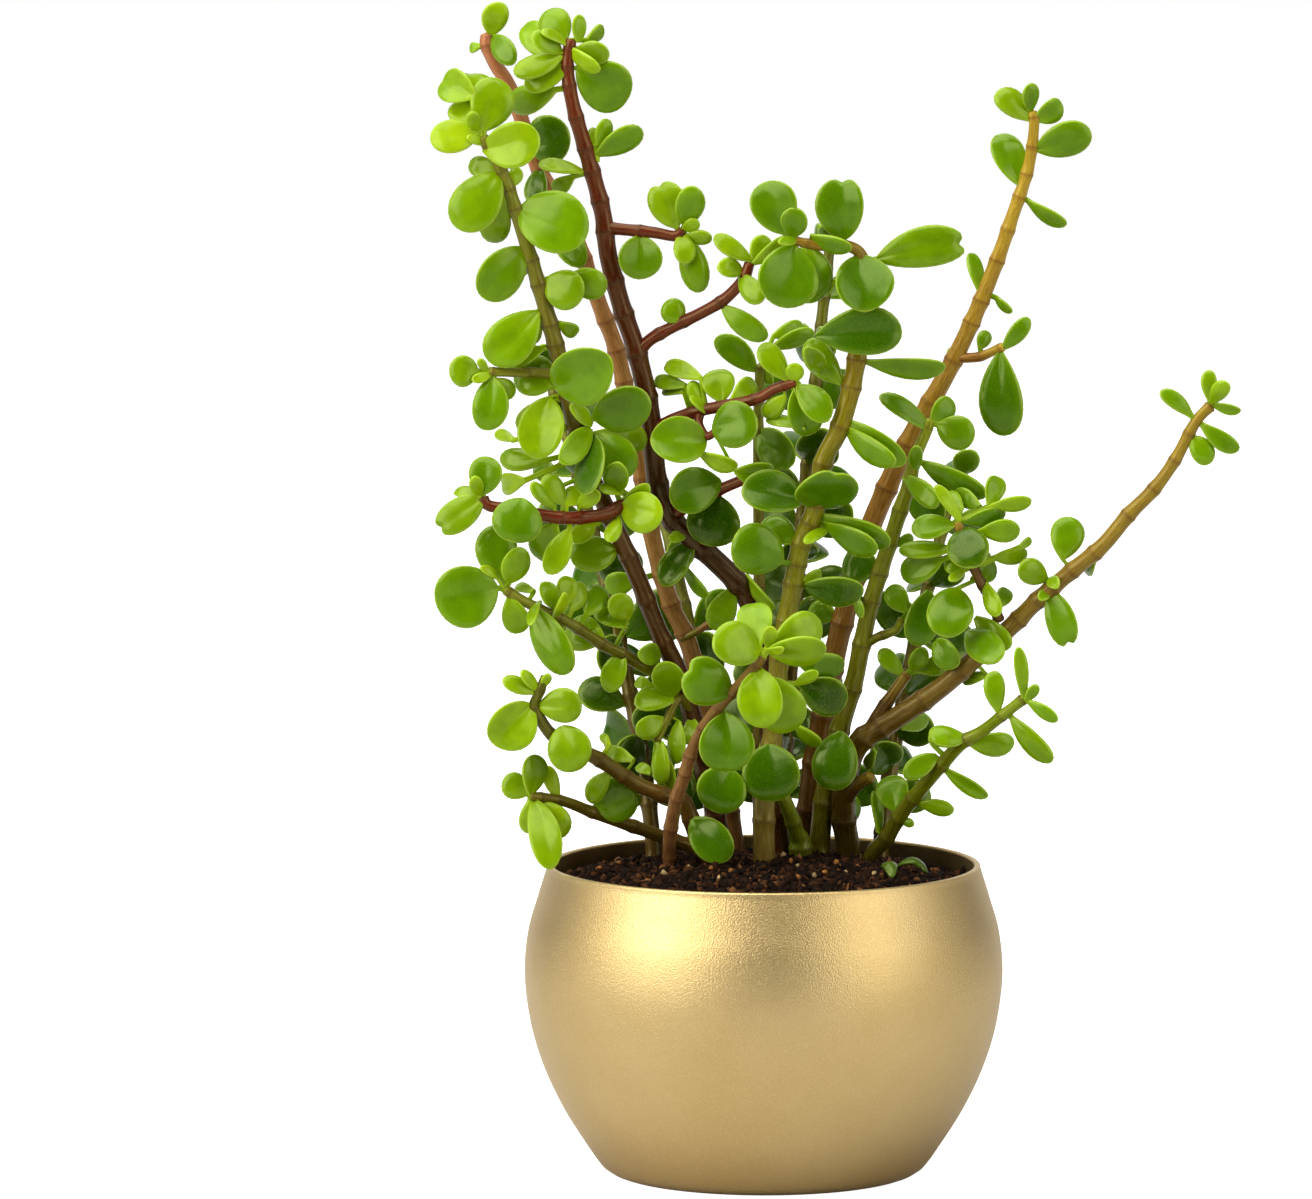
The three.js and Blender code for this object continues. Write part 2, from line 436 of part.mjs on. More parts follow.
      route: [
        [20.5, 88, 9], [22.8, 92, 9.5], [25.5, 96, 10], [28.6, 100.5, 10]
      ],
      girth: [2.8, 2.8, 2.6, 2.2],
      leaves: [
        [27.8, 100.3, 23.1, 105.4, 3.6, 0, 20], [30.5, 101.2, 36.6, 102.8, 4, 2, 20],
        [29.5, 101.5, 32.2, 105.9, 3.8, -1, 10]
      ],
    },
    {
      route: [
        [47, 111.3, 2], [45.8, 114.5, 1], [43.5, 118.6, 0], [41.5, 123, -1], [39.6, 128, -2],
        [38.6, 131, -2]
      ],
      girth: [2.2, 2.1, 2, 2, 1.8],
      leaves: [
        [38, 130.5, 29.4, 129.4, 5.2, -1, 20], [37.5, 125.5, 26.9, 125.4, 4, 1, 20],
        [35.5, 123.5, 27.4, 120.4, 6, 3, 0], [40.4, 129.8, 41.3, 121.9, 8.6, -4, 0],
        [40, 131.3, 48.3, 133.2, 4, 1, 20], [43, 129.2, 51.2, 129.6, 4.8, -1, 15],
        [39.2, 131.2, 34.1, 138.5, 2.6, -1, 25], [39.5, 133.5, 36.2, 137, 3.6, 4, 10],
        [43.3, 134, 38, 137, 3.8, 5, 10], [44.8, 134.3, 46.8, 140.2, 4.4, 3, 10],
        [46, 134.5, 53.4, 135.6, 3.4, 1, 10], [40.4, 121.6, 36.4, 124, 5.4, 1, 10],
        [41.5, 119.5, 45.6, 123.6, 5.5, 1, 10], [39.8, 121.3, 37, 119.3, 2, -5, 20],
        [44.3, 118.8, 46.8, 112.6, 3.6, -1, 20], [46.9, 114, 48.8, 117.6, 3.4, 3, 10],
        [38.7, 117.7, 35.8, 107.9, 9.4, -6, 0], [46, 124, 52.7, 124.8, 3.6, 2, 20],
        [51, 126, 53.3, 127.8, 1.8, 2, 10]
      ],
    },
  ],
  stem_low_right: [
    {
      route: [
        [21.2, 62.4, 12], [24.6, 67.4, 8], [28, 72.9, 4], [31.9, 77.8, 0], [36.5, 83.2, -4],
        [39.9, 86.7, -7], [43.8, 89, -9], [47.6, 92, -12], [51.8, 95.3, -14]
      ],
      girth: [3.4, 3.2, 3, 2.8, 2.4, 2.2],
      leaves: [
        [26.5, 72.8, 25.4, 80, 6.8, 3, 0], [23, 68.6, 22, 77, 2.2, 1, 40],
        [34.7, 84, 28.1, 79.6, 4.4, -1, 10], [40.6, 87.4, 33, 88.6, 4.8, -1, 20],
        [34.5, 85.6, 33.5, 88.6, 2.4, 0, 20], [41.2, 86.5, 50.4, 86.2, 4.8, -2, 20],
        [36.6, 81.2, 45, 75.7, 3.4, -1, 20], [31, 74.6, 38.2, 72.9, 3.4, -1, 20],
        [27.6, 71, 30.2, 70.1, 1.8, -2, 20], [46.9, 93, 46, 101.2, 4.4, 1, 0],
        [49.6, 91.7, 57.8, 82.7, 4.5, -2, 10], [52, 95.6, 50.8, 106, 2.7, -1, 25],
        [52.6, 95.4, 54.8, 98.4, 2.4, -1, 20], [53, 95, 58.9, 91, 2.7, -2, 20]
      ],
    },
  ],
};

// Shoots behind the rest: [foot x, foot y, lean in x, lean in y, height, share of it that is bare]
const REAR_SHOOTS = [
  [-22, 22, -22, 24, 98, 0.42],
  [4, 34, 10, 14, 124, 0.62],
  [24, 25, 16, 23, 76, 0.35],
  [-7, 35, -13, 24, 66, 0.3],
];
const REAR_GIRTH = [3.4, 3, 2.2];  // its diameters from foot to tip
const REAR_SEED = 7;
const NODE_STEP = 11;             // along a rear shoot, from one pair of leaves to the next

// Blades of three sizes: a blade's half widths as shares of its greatest, at steps from base to tip
const LARGE_BLADE = [[0.3, 0.8], [0.7, 0.98], [1, 0.44]];
const SMALL_BLADE = [[0.55, 1], [1, 0.5]];
const LARGE_WIDTH = 6.5;

function repeatable(seed) {
  let state = seed;
  return () => {
    state = (state * 16807) % 2147483647;
    return state / 2147483647;
  };
}

function solidOf(positions, triangles) {
  return new wasm.Manifold(new wasm.Mesh({
    numProp: 3,
    vertProperties: Float32Array.from(positions),
    triVerts: Uint32Array.from(triangles),
  }));
}

// A closed solid through rings of points, each with the same number of them. It ends flat, and it
// starts flat as well or runs out to a point.
function solidOfRings(rings, point = null) {
  const sides = rings[0].length;
  const triangles = [];
  for (let start = 0; start < (rings.length - 1) * sides; start += sides) {
    for (let s = 0; s < sides; s += 1) {
      const next = (s + 1) % sides;
      triangles.push(start + s, start + next, start + sides + s);
      triangles.push(start + next, start + sides + next, start + sides + s);
    }
  }
  const last = (rings.length - 1) * sides;
  for (let s = 1; s < sides - 1; s += 1) {
    triangles.push(last, last + s, last + s + 1);
    if (!point) triangles.push(0, s + 1, s);
  }
  const points = rings.flat();
  if (point) {
    for (let s = 0; s < sides; s += 1) triangles.push(points.length, (s + 1) % sides, s);
    points.push(point);
  }
  return solidOf(points.flatMap((corner) => corner.toArray()), triangles);
}

// A value from a list that is spread evenly over 0 to 1.
function spread(list, t) {
  const at = THREE.MathUtils.clamp(t, 0, 1) * (list.length - 1);
  const low = Math.min(Math.floor(at), list.length - 2);
  return THREE.MathUtils.lerp(list[low], list[low + 1], at - low);
}

// A stem's points, with a straight end down into the soil where it is rooted.
function stemPoints(points, rooted) {
  if (!rooted) return points;
  const foot = points[0].clone();
  foot.z -= BURIED;
  return [foot, ...points];
}

// A tapering stem with a many-sided section across each point of its route.
function stemSolid(points, girth, sides, rooted, extra = 0) {
  const rings = points.map((centre, i) => {
    const after = points[Math.min(i + 1, points.length - 1)];
    const along = after.clone().sub(points[Math.max(i - 1, 0)]).normalize();
    const across = new THREE.Vector3(0, 1, 0).cross(along).normalize();
    const up = new THREE.Vector3().crossVectors(along, across);
    const first = rooted ? 1 : 0;
    const radius = spread(girth, (i - first) / (points.length - 1 - first)) / 2 + extra;
    const end = extra && i === 0 ? -extra : 0;
    return Array.from({ length: sides }, (_, s) => {
      const angle = (2 * Math.PI * s) / sides;
      return centre.clone().addScaledVector(along, end)
        .addScaledVector(across, radius * Math.cos(angle)).addScaledVector(up, radius * Math.sin(angle));
    });
  });
  return solidOfRings(rings);
}

// The point of a route, as it shows, nearest to where a leaf's base shows.
function nearestPlace(route, x, z) {
  let nearest = null;
  for (let i = 0; i < route.length - 1; i += 1) {
    const [ax, az, aDepth] = route[i];
    const [bx, bz, bDepth] = route[i + 1];
    const run = (bx - ax) ** 2 + (bz - az) ** 2;
    const t = THREE.MathUtils.clamp(((x - ax) * (bx - ax) + (z - az) * (bz - az)) / run, 0, 1);
    const spot = [ax + t * (bx - ax), az + t * (bz - az), aDepth + t * (bDepth - aDepth)];
    const away = Math.hypot(spot[0] - x, spot[1] - z);
    if (!nearest || away < nearest.away) nearest = { away, spot };
  }
  return nearest.spot;
}

function leafOf(route, [x, z, tipX, tipZ, width, lean, turn, offset = 0]) {
  const spot = nearestPlace(route, x, z);
  const depth = spot[2] + offset;
  return {
    root: place(spot),
    base: place([x, z, depth]),
    tip: place([tipX, tipZ, depth + lean]),
    width: width / Math.cos(THREE.MathUtils.degToRad(turn)),
    turn,
  };
}

// The ways in which a blade may be bent clear, the least first: [tip's move in depth, turn, size]
const BENDS = [];
for (const size of [1, 0.88, 0.75, 0.6]) {
  for (const turn of [0, 15, -15, 35, -35]) {
    for (const move of [0, -2, 2, -4, 4, -7, 7, -11, 11]) BENDS.push([move, turn, size]);
  }
}
const bendCost = ([move, turn, size]) => Math.abs(move) / 2 + Math.abs(turn) / 12 + 25 * (1 - size);
BENDS.sort((a, b) => bendCost(a) - bendCost(b));

function bent(leaf, [move, turn, size]) {
  const reach = leaf.tip.clone().sub(leaf.base);
  const length = reach.length();
  reach.y += move;
  return {
    ...leaf,
    tip: leaf.base.clone().addScaledVector(reach, size * Math.max(1, length / reach.length())),
    width: leaf.width * size,
    turn: leaf.turn + turn,
  };
}

// The corners of a blade's section, in turn about the way from its base to its tip.
function bladeSection(centre, across, face, halfWidth, halfDepth) {
  return [[1, 1], [1, -1], [-1, -1], [-1, 1]].map(([side, front]) => centre.clone()
    .addScaledVector(across, side * halfWidth).addScaledVector(face, front * halfDepth));
}

function bladeFrame({ base, tip, turn }) {
  const along = tip.clone().sub(base).normalize();
  const sight = EYE.clone().sub(base).normalize();
  const across = new THREE.Vector3().crossVectors(along, sight).normalize()
    .applyAxisAngle(along, THREE.MathUtils.degToRad(turn));
  return { across, face: new THREE.Vector3().crossVectors(across, along) };
}

function bladeRings(leaf, extra) {
  const { base, tip, width } = leaf;
  const { across, face } = bladeFrame(leaf);
  const length = base.distanceTo(tip);
  const thickness = Math.min(BLADE_THICKNESS, 0.9 + width / 12);
  return (width < LARGE_WIDTH ? SMALL_BLADE : LARGE_BLADE).map(([t, share]) => {
    const centre = base.clone().lerp(tip, t).addScaledVector(face, ARCH * length * 4 * t * (1 - t));
    const depth = t === 1 ? THINNEST : thickness;
    return bladeSection(centre, across, face, (share * width) / 2 + extra, depth / 2 + extra);
  });
}

// A fleshy blade, arched towards its face. It grows from a point in the middle of its stem, on a thin
// stalk where it starts further out.
function leafSolid(leaf) {
  const { root, base, tip } = leaf;
  const rings = bladeRings(leaf, 0);
  if (root.distanceTo(base) > NEAR_STEM) {
    const { face } = bladeFrame(leaf);
    const out = base.clone().sub(root).normalize().add(tip.clone().sub(base).normalize()).normalize();
    const across = out.clone().cross(face).normalize();
    const up = across.clone().cross(out);
    rings.unshift(bladeSection(base, across, up, STALK_WIDTH / 2, STALK_WIDTH / 2));
  }
  const first = rings[0].reduce((sum, corner) => sum.add(corner), new THREE.Vector3()).divideScalar(4);
  const inward = root.clone().sub(first).setLength(SUNK);
  return solidOfRings(rings, root.clone().add(inward));
}

// What must stay clear of other blades: the blade without its narrow foot.
function outerBlade(leaf, extra) {
  const { across, face } = bladeFrame(leaf);
  const start = leaf.base.clone().lerp(leaf.tip, 0.2);
  const foot = bladeSection(start, across, face, 0.3 * leaf.width + extra, THINNEST / 2 + extra);
  return solidOfRings([foot, ...bladeRings(leaf, extra)]);
}

// The pot: one turned shell with a full belly, a small flat foot and a rounded lip.
function potProfile() {
  const side = [[35.8, 6], [40.3, 13.2], [44.2, 21.5], [46.8, 30.2], [POT_RADIUS, BELLY_HEIGHT],
    [47.3, 48.6], [45.4, 55.4]];
  const lip = [-20, 25, 90, 155, 200].map((degrees) => {
    const angle = THREE.MathUtils.degToRad(degrees);
    return [MOUTH_RADIUS + (WALL / 2) * Math.cos(angle), POT_HEIGHT + (WALL / 2) * (Math.sin(angle) - 1)];
  });
  return [[0, 0], [BASE_RADIUS, 0], [32.4, 1.3], ...side, ...lip, ...potInside()];
}

function potInside() {
  return [[44.7, 50], [POT_RADIUS - WALL, BELLY_HEIGHT], [42.6, 25], [37, 11], [30, FLOOR], [0, FLOOR]];
}

function turnedSolid(profile) {
  const outline = profile.map(([radius, z]) => new THREE.Vector2(radius, z));
  const turned = new THREE.LatheGeometry(outline, POT_SIDES);
  turned.rotateX(Math.PI / 2);
  turned.deleteAttribute('normal');
  turned.deleteAttribute('uv');
  const merged = mergeVertices(turned, 1e-3);
  const triangles = [];
  for (let i = 0; i < merged.index.count; i += 3) {
    const corners = [0, 1, 2].map((k) => merged.index.getX(i + k));
    if (new Set(corners).size === 3) triangles.push(...corners);
  }
  return solidOf(merged.attributes.position.array, triangles);
}

function soilHeight(radius) {
  return SOIL_EDGE + SOIL_RISE * (1 - (radius / MOUTH_RADIUS) ** MOUND);
}

// The soil fills the pot up to a low mound, a hair clear of the wall, with a hole for every stem.
function soilSolid(holes) {
  const neck = MOUTH_RADIUS - WALL / 2 + 0.6;
  const top = [0, 17, 29, neck].map((radius) => [radius, soilHeight(radius)]);
  const wall = potInside().map(([radius, z]) => [Math.max(radius - GAP, 0), Math.max(z, FLOOR + GAP)]);
  const mound = turnedSolid([...top, ...wall].reverse());
  return holes.reduce((soil, hole) => soil.subtract(hole), mound);
}

// A leaf that has dropped: a small blade curled over the soil, between two ends that lie on it.
function droppedLeaf(from, to, width, curl) {
  const rest = GAP + THINNEST / 2;
  const ends = [from, to].map(([x, y]) => new THREE.Vector3(x, y, soilHeight(Math.hypot(x, y)) + rest));
  const along = ends[1].clone().sub(ends[0]).normalize();
  const across = along.clone().cross(new THREE.Vector3(0, 0, 1)).normalize();
  const up = new THREE.Vector3().crossVectors(across, along);
  const sections = [[0, 0.3], [0.25, 0.8], [0.55, 1], [0.85, 0.75], [1, 0.4]];
  return solidOfRings(sections.map(([t, share]) => {
    const centre = ends[0].clone().lerp(ends[1], t).addScaledVector(up, curl * 4 * t * (1 - t));
    return bladeSection(centre, across, up, (share * width) / 2, THINNEST / 2);
  }));
}

// A rear shoot: a leaning curve with crossed pairs of leaves above its bare foot.
function rearShoot([x, y, leanX, leanY, height, bare], draw) {
  const steps = Math.round(height / NODE_STEP);
  const foot = new THREE.Vector3(x, y, soilHeight(Math.hypot(x, y)));
  const points = Array.from({ length: steps + 1 }, (_, i) => {
    const t = i / steps;
    return foot.clone().add(new THREE.Vector3(leanX * t ** 1.4, leanY * t ** 1.4, height * t));
  });
  const leaves = [];
  for (let i = Math.ceil(bare * steps); i <= steps; i += 1) {
    const root = points[i];
    const along = root.clone().sub(points[i - 1]).normalize();
    const size = 1 - 0.5 * (i / steps) ** 2;
    for (const side of [0, Math.PI]) {
      const out = new THREE.Vector3(0, 1, 0).cross(along).normalize()
        .applyAxisAngle(along, side + (i % 2) * (Math.PI / 2) + 0.6 * draw());
      const length = (14 + 3 * draw()) * size;
      const reach = out.addScaledVector(along, 0.35 + 0.5 * draw()).setLength(length);
      const base = root.clone().addScaledVector(reach, 0.12);
      const width = length * (0.6 + 0.15 * draw());
      leaves.push({ root, base, tip: root.clone().add(reach), width, turn: 70 * (draw() - 0.5) });
    }
  }
  return { points, leaves };
}

// Every piece so far. A blade is tried against them and bent until it crosses no other cutting and,
// if it can be done, no blade of its own.
const placed = [];

const SLIGHT = 0.1;               // cubic millimetres by which two blades of one cutting may meet

function keep(owner, solid, outer = solid) {
  placed.push({ owner, solid, outer, box: solid.boundingBox() });
}

function boxesMeet(a, b) {
  return [0, 1, 2].every((k) => a.min[k] <= b.max[k] && b.min[k] <= a.max[k]);
}

function crossesOther(owner, solid) {
  const box = solid.boundingBox();
  return placed.some((piece) => piece.owner !== owner && boxesMeet(piece.box, box)
    && piece.solid.intersect(solid).volume() > 0);
}

function crossesOwn(owner, outer) {
  const box = outer.boundingBox();
  return placed.some((piece) => piece.owner === owner && boxesMeet(piece.box, box)
    && piece.outer.intersect(outer).volume() > SLIGHT);
}

function keepLeaf(owner, leaf) {
  let chosen = null;
  for (const bend of BENDS) {
    const way = bent(leaf, bend);
    if (crossesOther(owner, outerBlade(way, CLEARANCE)) || crossesOther(owner, leafSolid(way))) continue;
    if (!crossesOwn(owner, outerBlade(way, 0))) {
      chosen = way;
      break;
    }
    chosen ??= way;
  }
  if (!chosen) return;
  keep(owner, leafSolid(chosen), outerBlade(chosen, 0));
}

const part = new THREE.Group();
const finishes = {
  pot: new THREE.MeshStandardMaterial({ color: POT_GOLD, roughness: 0.35, metalness: 0.7 }),
  soil: new THREE.MeshStandardMaterial({ color: SOIL_BROWN, roughness: 0.95, metalness: 0 }),
  leaves: new THREE.MeshStandardMaterial({ color: LEAF_GREEN, roughness: 0.3, metalness: 0 }),
  bark: new THREE.MeshStandardMaterial({ color: BARK_BROWN, roughness: 0.6, metalness: 0 }),
};

function addNode(name, solid, finish) {
  const { vertProperties, triVerts } = solid.getMesh();
  const geometry = new THREE.BufferGeometry();
  geometry.setAttribute('position', new THREE.BufferAttribute(Float32Array.from(vertProperties), 3));
  geometry.setIndex(Array.from(triVerts));
  geometry.computeVertexNormals();
  const mesh = new THREE.Mesh(geometry, finish);
  mesh.name = name;
  part.add(mesh);
}

const pot = turnedSolid(potProfile());
keep('pot', pot);

const holes = [];
for (const [name, shoots] of Object.entries(CUTTINGS)) {
  shoots.forEach(({ route, girth }, i) => {
    const rooted = i === 0;
    const points = stemPoints(route.map(place), rooted);
    keep(name, stemSolid(points, girth, rooted ? STEM_SIDES : SHOOT_SIDES, rooted));
    if (rooted) holes.push(stemSolid(points, girth, STEM_SIDES, rooted, GAP));
  });
}
const draw = repeatable(REAR_SEED);
const rear = REAR_SHOOTS.map((shoot, i) => ({ name: `stem_rear_${i + 1}`, ...rearShoot(shoot, draw) }));
for (const { name, points } of rear) {
  const rootedPoints = stemPoints(points, true);
  keep(name, stemSolid(rootedPoints, REAR_GIRTH, STEM_SIDES, true));
  holes.push(stemSolid(rootedPoints, REAR_GIRTH, STEM_SIDES, true, GAP));
}
const soil = soilSolid(holes);
keep('soil', soil);
const dropped = {
  loose_leaf_1: droppedLeaf([25.5, -13], [24.5, -6], 2.4, 2),
  loose_leaf_2: droppedLeaf([26.5, -1], [33, -3], 2.6, 2.2),
};
for (const [name, solid] of Object.entries(dropped)) keep(name, solid);
for (const [name, shoots] of Object.entries(CUTTINGS)) {
  for (const { route, leaves } of shoots) {
    for (const row of leaves.filter(([, , , , width]) => width > YOUNG)) keepLeaf(name, leafOf(route, row));
  }
}
for (const { name, leaves } of rear) leaves.forEach((leaf) => keepLeaf(name, leaf));

addNode('pot', pot, finishes.pot);
addNode('soil', soil, finishes.soil);
for (const name of [...Object.keys(CUTTINGS), ...rear.map((shoot) => shoot.name)]) {
  const pieces = placed.filter((piece) => piece.owner === name).map((piece) => piece.solid);
  const whole = pieces.reduce((joined, piece) => joined.add(piece));
  addNode(name, whole, name === 'stem_stub' ? finishes.bark : finishes.leaves);
}
for (const [name, solid] of Object.entries(dropped)) addNode(name, solid, finishes.leaves);

export default part;
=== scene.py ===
import bpy
import numpy as np
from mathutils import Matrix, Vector


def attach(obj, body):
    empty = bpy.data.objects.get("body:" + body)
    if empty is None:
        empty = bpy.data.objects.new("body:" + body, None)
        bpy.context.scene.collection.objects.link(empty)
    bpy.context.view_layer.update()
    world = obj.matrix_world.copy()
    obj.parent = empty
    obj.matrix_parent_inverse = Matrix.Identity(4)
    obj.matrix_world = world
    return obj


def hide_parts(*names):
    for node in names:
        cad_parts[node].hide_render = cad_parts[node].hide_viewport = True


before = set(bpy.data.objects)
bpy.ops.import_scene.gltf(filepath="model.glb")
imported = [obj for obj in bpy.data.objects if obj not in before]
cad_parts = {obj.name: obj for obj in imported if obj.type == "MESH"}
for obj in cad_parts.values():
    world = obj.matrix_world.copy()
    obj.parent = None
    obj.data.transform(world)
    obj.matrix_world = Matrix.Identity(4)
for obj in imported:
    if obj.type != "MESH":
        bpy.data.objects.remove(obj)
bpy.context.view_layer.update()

# The studio: a wide white table with the camera at the photograph's height, tall soft boxes to its
# left and right, whose gap is the dim band down the pot, one overhead and white boards round it.
# Lengths in this file are in millimetres and are turned to metres where a mesh or a light is made.
MM = 0.001
EYE = np.array([-21.6, -1800.0, 311.0])      # where the photograph was taken from
AIM = np.array([-21.6, 0.0, 115.5])
LENS = 248.4
SENSOR = 36.0
CLIP = (0.1, 40.0)                           # in metres
TABLE_RADIUS = 9000.0
TABLE_SIDES = 64
MIDDLE = (0.0, 0.0, 110.0)                   # of the plant and its pot, where the lamps face
scene = bpy.context.scene


def add_object(name, data):
    """Puts mesh, light or camera data in the scene as an object at the origin."""
    made = bpy.data.objects.new(name, data)
    scene.collection.objects.link(made)
    return made


def aim(made, start, target):
    """Stands a lamp or a camera at start and turns its -Z to target, with its Y as upright as can be."""
    made.location = Vector(start) * MM
    made.rotation_euler = (Vector(target) - Vector(start)).to_track_quat("-Z", "Y").to_euler()


camera = add_object("camera", bpy.data.cameras.new("camera"))
camera.data.lens = LENS
camera.data.sensor_width = SENSOR
camera.data.clip_start, camera.data.clip_end = CLIP
aim(camera, EYE, AIM)
scene.camera = camera
scene.view_settings.view_transform = "Standard"

# name: (place, width, height, power in watts)
SOFT_BOXES = {
    "soft_box_left": ((-1350.0, -1000.0, 900.0), 1500.0, 1400.0, 27.0),
    "soft_box_right": ((1350.0, -1050.0, 700.0), 1200.0, 1400.0, 12.0),
    "soft_box_above": ((-250.0, -200.0, 1500.0), 1700.0, 1500.0, 29.0),
    "side_board_left": ((-1500.0, 0.0, 750.0), 1400.0, 1700.0, 5.5),
    "side_board_right": ((1500.0, 0.0, 750.0), 1400.0, 1700.0, 5.0),
    "board_behind": ((0.0, 1500.0, 700.0), 2600.0, 1600.0, 10.0),
}
for name, (start, width, height, power) in SOFT_BOXES.items():
    lamp = add_object(name, bpy.data.lights.new(name, "AREA"))
    lamp.data.shape = "RECTANGLE"
    lamp.data.size = width * MM
    lamp.data.size_y = height * MM
    lamp.data.energy = power
    lamp.visible_camera = False
    aim(lamp, start, MIDDLE)


def maths(operation, reflected=False):
    """An operator of Value: its Math node takes the two sides, the other way round if reflected."""
    def operator(self, other):
        first, second = (other, self) if reflected else (self, other)
        return self.finish.node("Math", {"operation": operation}, {0: first, 1: second})
    return operator


class Value:
    """A node's output that takes part in sums: each sum adds its Math node to the same material."""

    def __init__(self, finish, socket):
        self.finish = finish
        self.socket = socket

    __add__, __radd__ = maths("ADD"), maths("ADD", True)
    __sub__, __rsub__ = maths("SUBTRACT"), maths("SUBTRACT", True)
    __mul__, __rmul__ = maths("MULTIPLY"), maths("MULTIPLY", True)


class Nodes:
    """The nodes of a material or of the world, being put together."""

    def __init__(self, owner, shader):
        owner.use_nodes = True
        self.tree = owner.node_tree
        self.shader = self.tree.nodes[shader]

    def fill(self, made, sockets):
        """Gives each named socket its value, or links it to the Value it is given."""
        for key, value in sockets.items():
            if isinstance(value, Value):
                self.tree.links.new(value.socket, made.inputs[key])
            else:
                made.inputs[key].default_value = value

    def node(self, kind, settings=None, sockets=None, out=0):
        """Adds a node of any kind: its settings first, then its sockets. Gives back one output."""
        made = self.tree.nodes.new("ShaderNode" + kind)
        for key, value in (settings or {}).items():
            setattr(made, key, value)
        self.fill(made, sockets or {})
        return Value(self, made.outputs[out])

    def mix(self, share, first, second, blend="MIX"):
        """A colour between first and second by share, or second laid over first as blend says."""
        settings = {"data_type": "RGBA", "blend_type": blend}
        return self.node("Mix", settings, {0: share, 6: first, 7: second}, out=2)

    def noise(self, where, scale, detail=3.0):
        """Soft cloudy values about 0.5, scale of them to a unit of the vector where."""
        return self.node("TexNoise", None, {"Vector": where, "Scale": scale, "Detail": detail})

    def step(self, value, low, high):
        """0 below low, 1 above high, and an even S between them. With high under low it falls."""
        ends = {"Value": value, "From Min": low, "From Max": high}
        return self.node("MapRange", {"interpolation_type": "SMOOTHSTEP"}, ends)

    def mark(self, name, out="Fac"):
        """The value kept under that name at the mesh's points."""
        return self.node("Attribute", {"attribute_name": name}, out=out)

    def place(self):
        """Where a point lies on its piece, in metres."""
        return self.node("TexCoord", out="Object")

    def bump(self, strength, distance, height):
        """The normal of a surface that stands out by distance metres where height is 1."""
        sockets = {"Strength": strength, "Distance": distance, "Height": height}
        return self.node("Bump", None, sockets, out="Normal")


class Finish(Nodes):
    """A material in the making, with the colours and textures of one of the real finishes."""

    def __init__(self, name, constants):
        self.material = bpy.data.materials.new(name)
        super().__init__(self.material, "Principled BSDF")
        self.fill(self.shader, constants)

    def finished(self, tone, roughness, normal):
        """Links what varies over the surface and gives back the material."""
        self.fill(self.shader, {"Base Color": tone, "Roughness": roughness, "Normal": normal})
        return self.material


def rgb(red, green, blue):
    """A colour as a picture gives it, 0 to 255, as the linear light a shader takes."""
    share = np.array([red, green, blue]) / 255
    light = np.where(share > 0.04045, ((share + 0.055) / 1.055) ** 2.4, share / 12.92)
    return (*light.tolist(), 1.0)


AIR_LIGHT = 0.04                              # strength of the even light from all round
TABLE_GLOW = 0.97                            # what the lamps under the white table top add to it

world = bpy.data.worlds.new("studio_air")
air = Nodes(world, "Background")
seen_first = air.node("LightPath", out="Is Camera Ray")
air.fill(air.shader, {"Color": (1.0, 1.0, 1.0, 1.0), "Strength": AIR_LIGHT + (1 - AIR_LIGHT) * seen_first})
scene.world = world


def table_finish():
    """Matt white with the faintest cloudiness, lit through from below so that it shows as plain white."""
    matt = Finish("table_white", {"Roughness": 0.95, "Emission Strength": TABLE_GLOW})
    cloud = matt.noise(matt.place(), 3.0)
    tone = matt.mix(cloud, rgb(188, 188, 187), rgb(194, 194, 194))
    shown = matt.mix(matt.node("LightPath", out="Is Camera Ray"), rgb(0, 0, 0), rgb(255, 255, 255))
    matt.fill(matt.shader, {"Base Color": tone, "Emission Color": shown})
    return matt.material


def disc(radius, sides):
    """The corners of a flat round plate: radius times the cosine and sine of even turns."""
    turn = np.arange(sides) * 2 * np.pi / sides
    return np.stack([radius * np.cos(turn), radius * np.sin(turn), 0 * turn], -1)


table = add_object("table_top", bpy.data.meshes.new("table_top"))
table.data.from_pydata((disc(TABLE_RADIUS, TABLE_SIDES) * MM).tolist(), [], [range(TABLE_SIDES)])
table.data.materials.append(table_finish())

# The pot: a round-bellied bowl spun or cast in one piece, with a small flat foot and a thin lip,
# coated in satin gold lacquer whose fine orange peel shows where the lights reflect in it.
POT_HEIGHT = 62.3
BELLY_RADIUS = 48.0
BELLY_HEIGHT = 40.0
FOOT_RADIUS = 30.0
MOUTH_RADIUS = 42.2                          # to the middle of the wall
WALL = 2.6
FLOOR = 4.0
LIP = 1.3                                    # thickness of the wall where it thins to the lip
LIP_ROUND = 0.45                             # of the lip's two edges
LIP_TURN = np.radians([-20, 5, 30, 60, 90])
POT_AROUND = 160
POT_STEP = 1.4                               # between the rings of points down its sides
OUTER_SIDE = [[FOOT_RADIUS, 0.0], [32.4, 1.3], [35.8, 6.0], [40.3, 13.2], [44.2, 21.5], [46.8, 30.2],
              [BELLY_RADIUS, BELLY_HEIGHT], [47.3, 48.6], [45.4, 55.4]]
INNER_SIDE = [[44.7, 50.0], [BELLY_RADIUS - WALL, BELLY_HEIGHT], [42.6, 25.0], [37.0, 11.0],
              [30.0, FLOOR]]


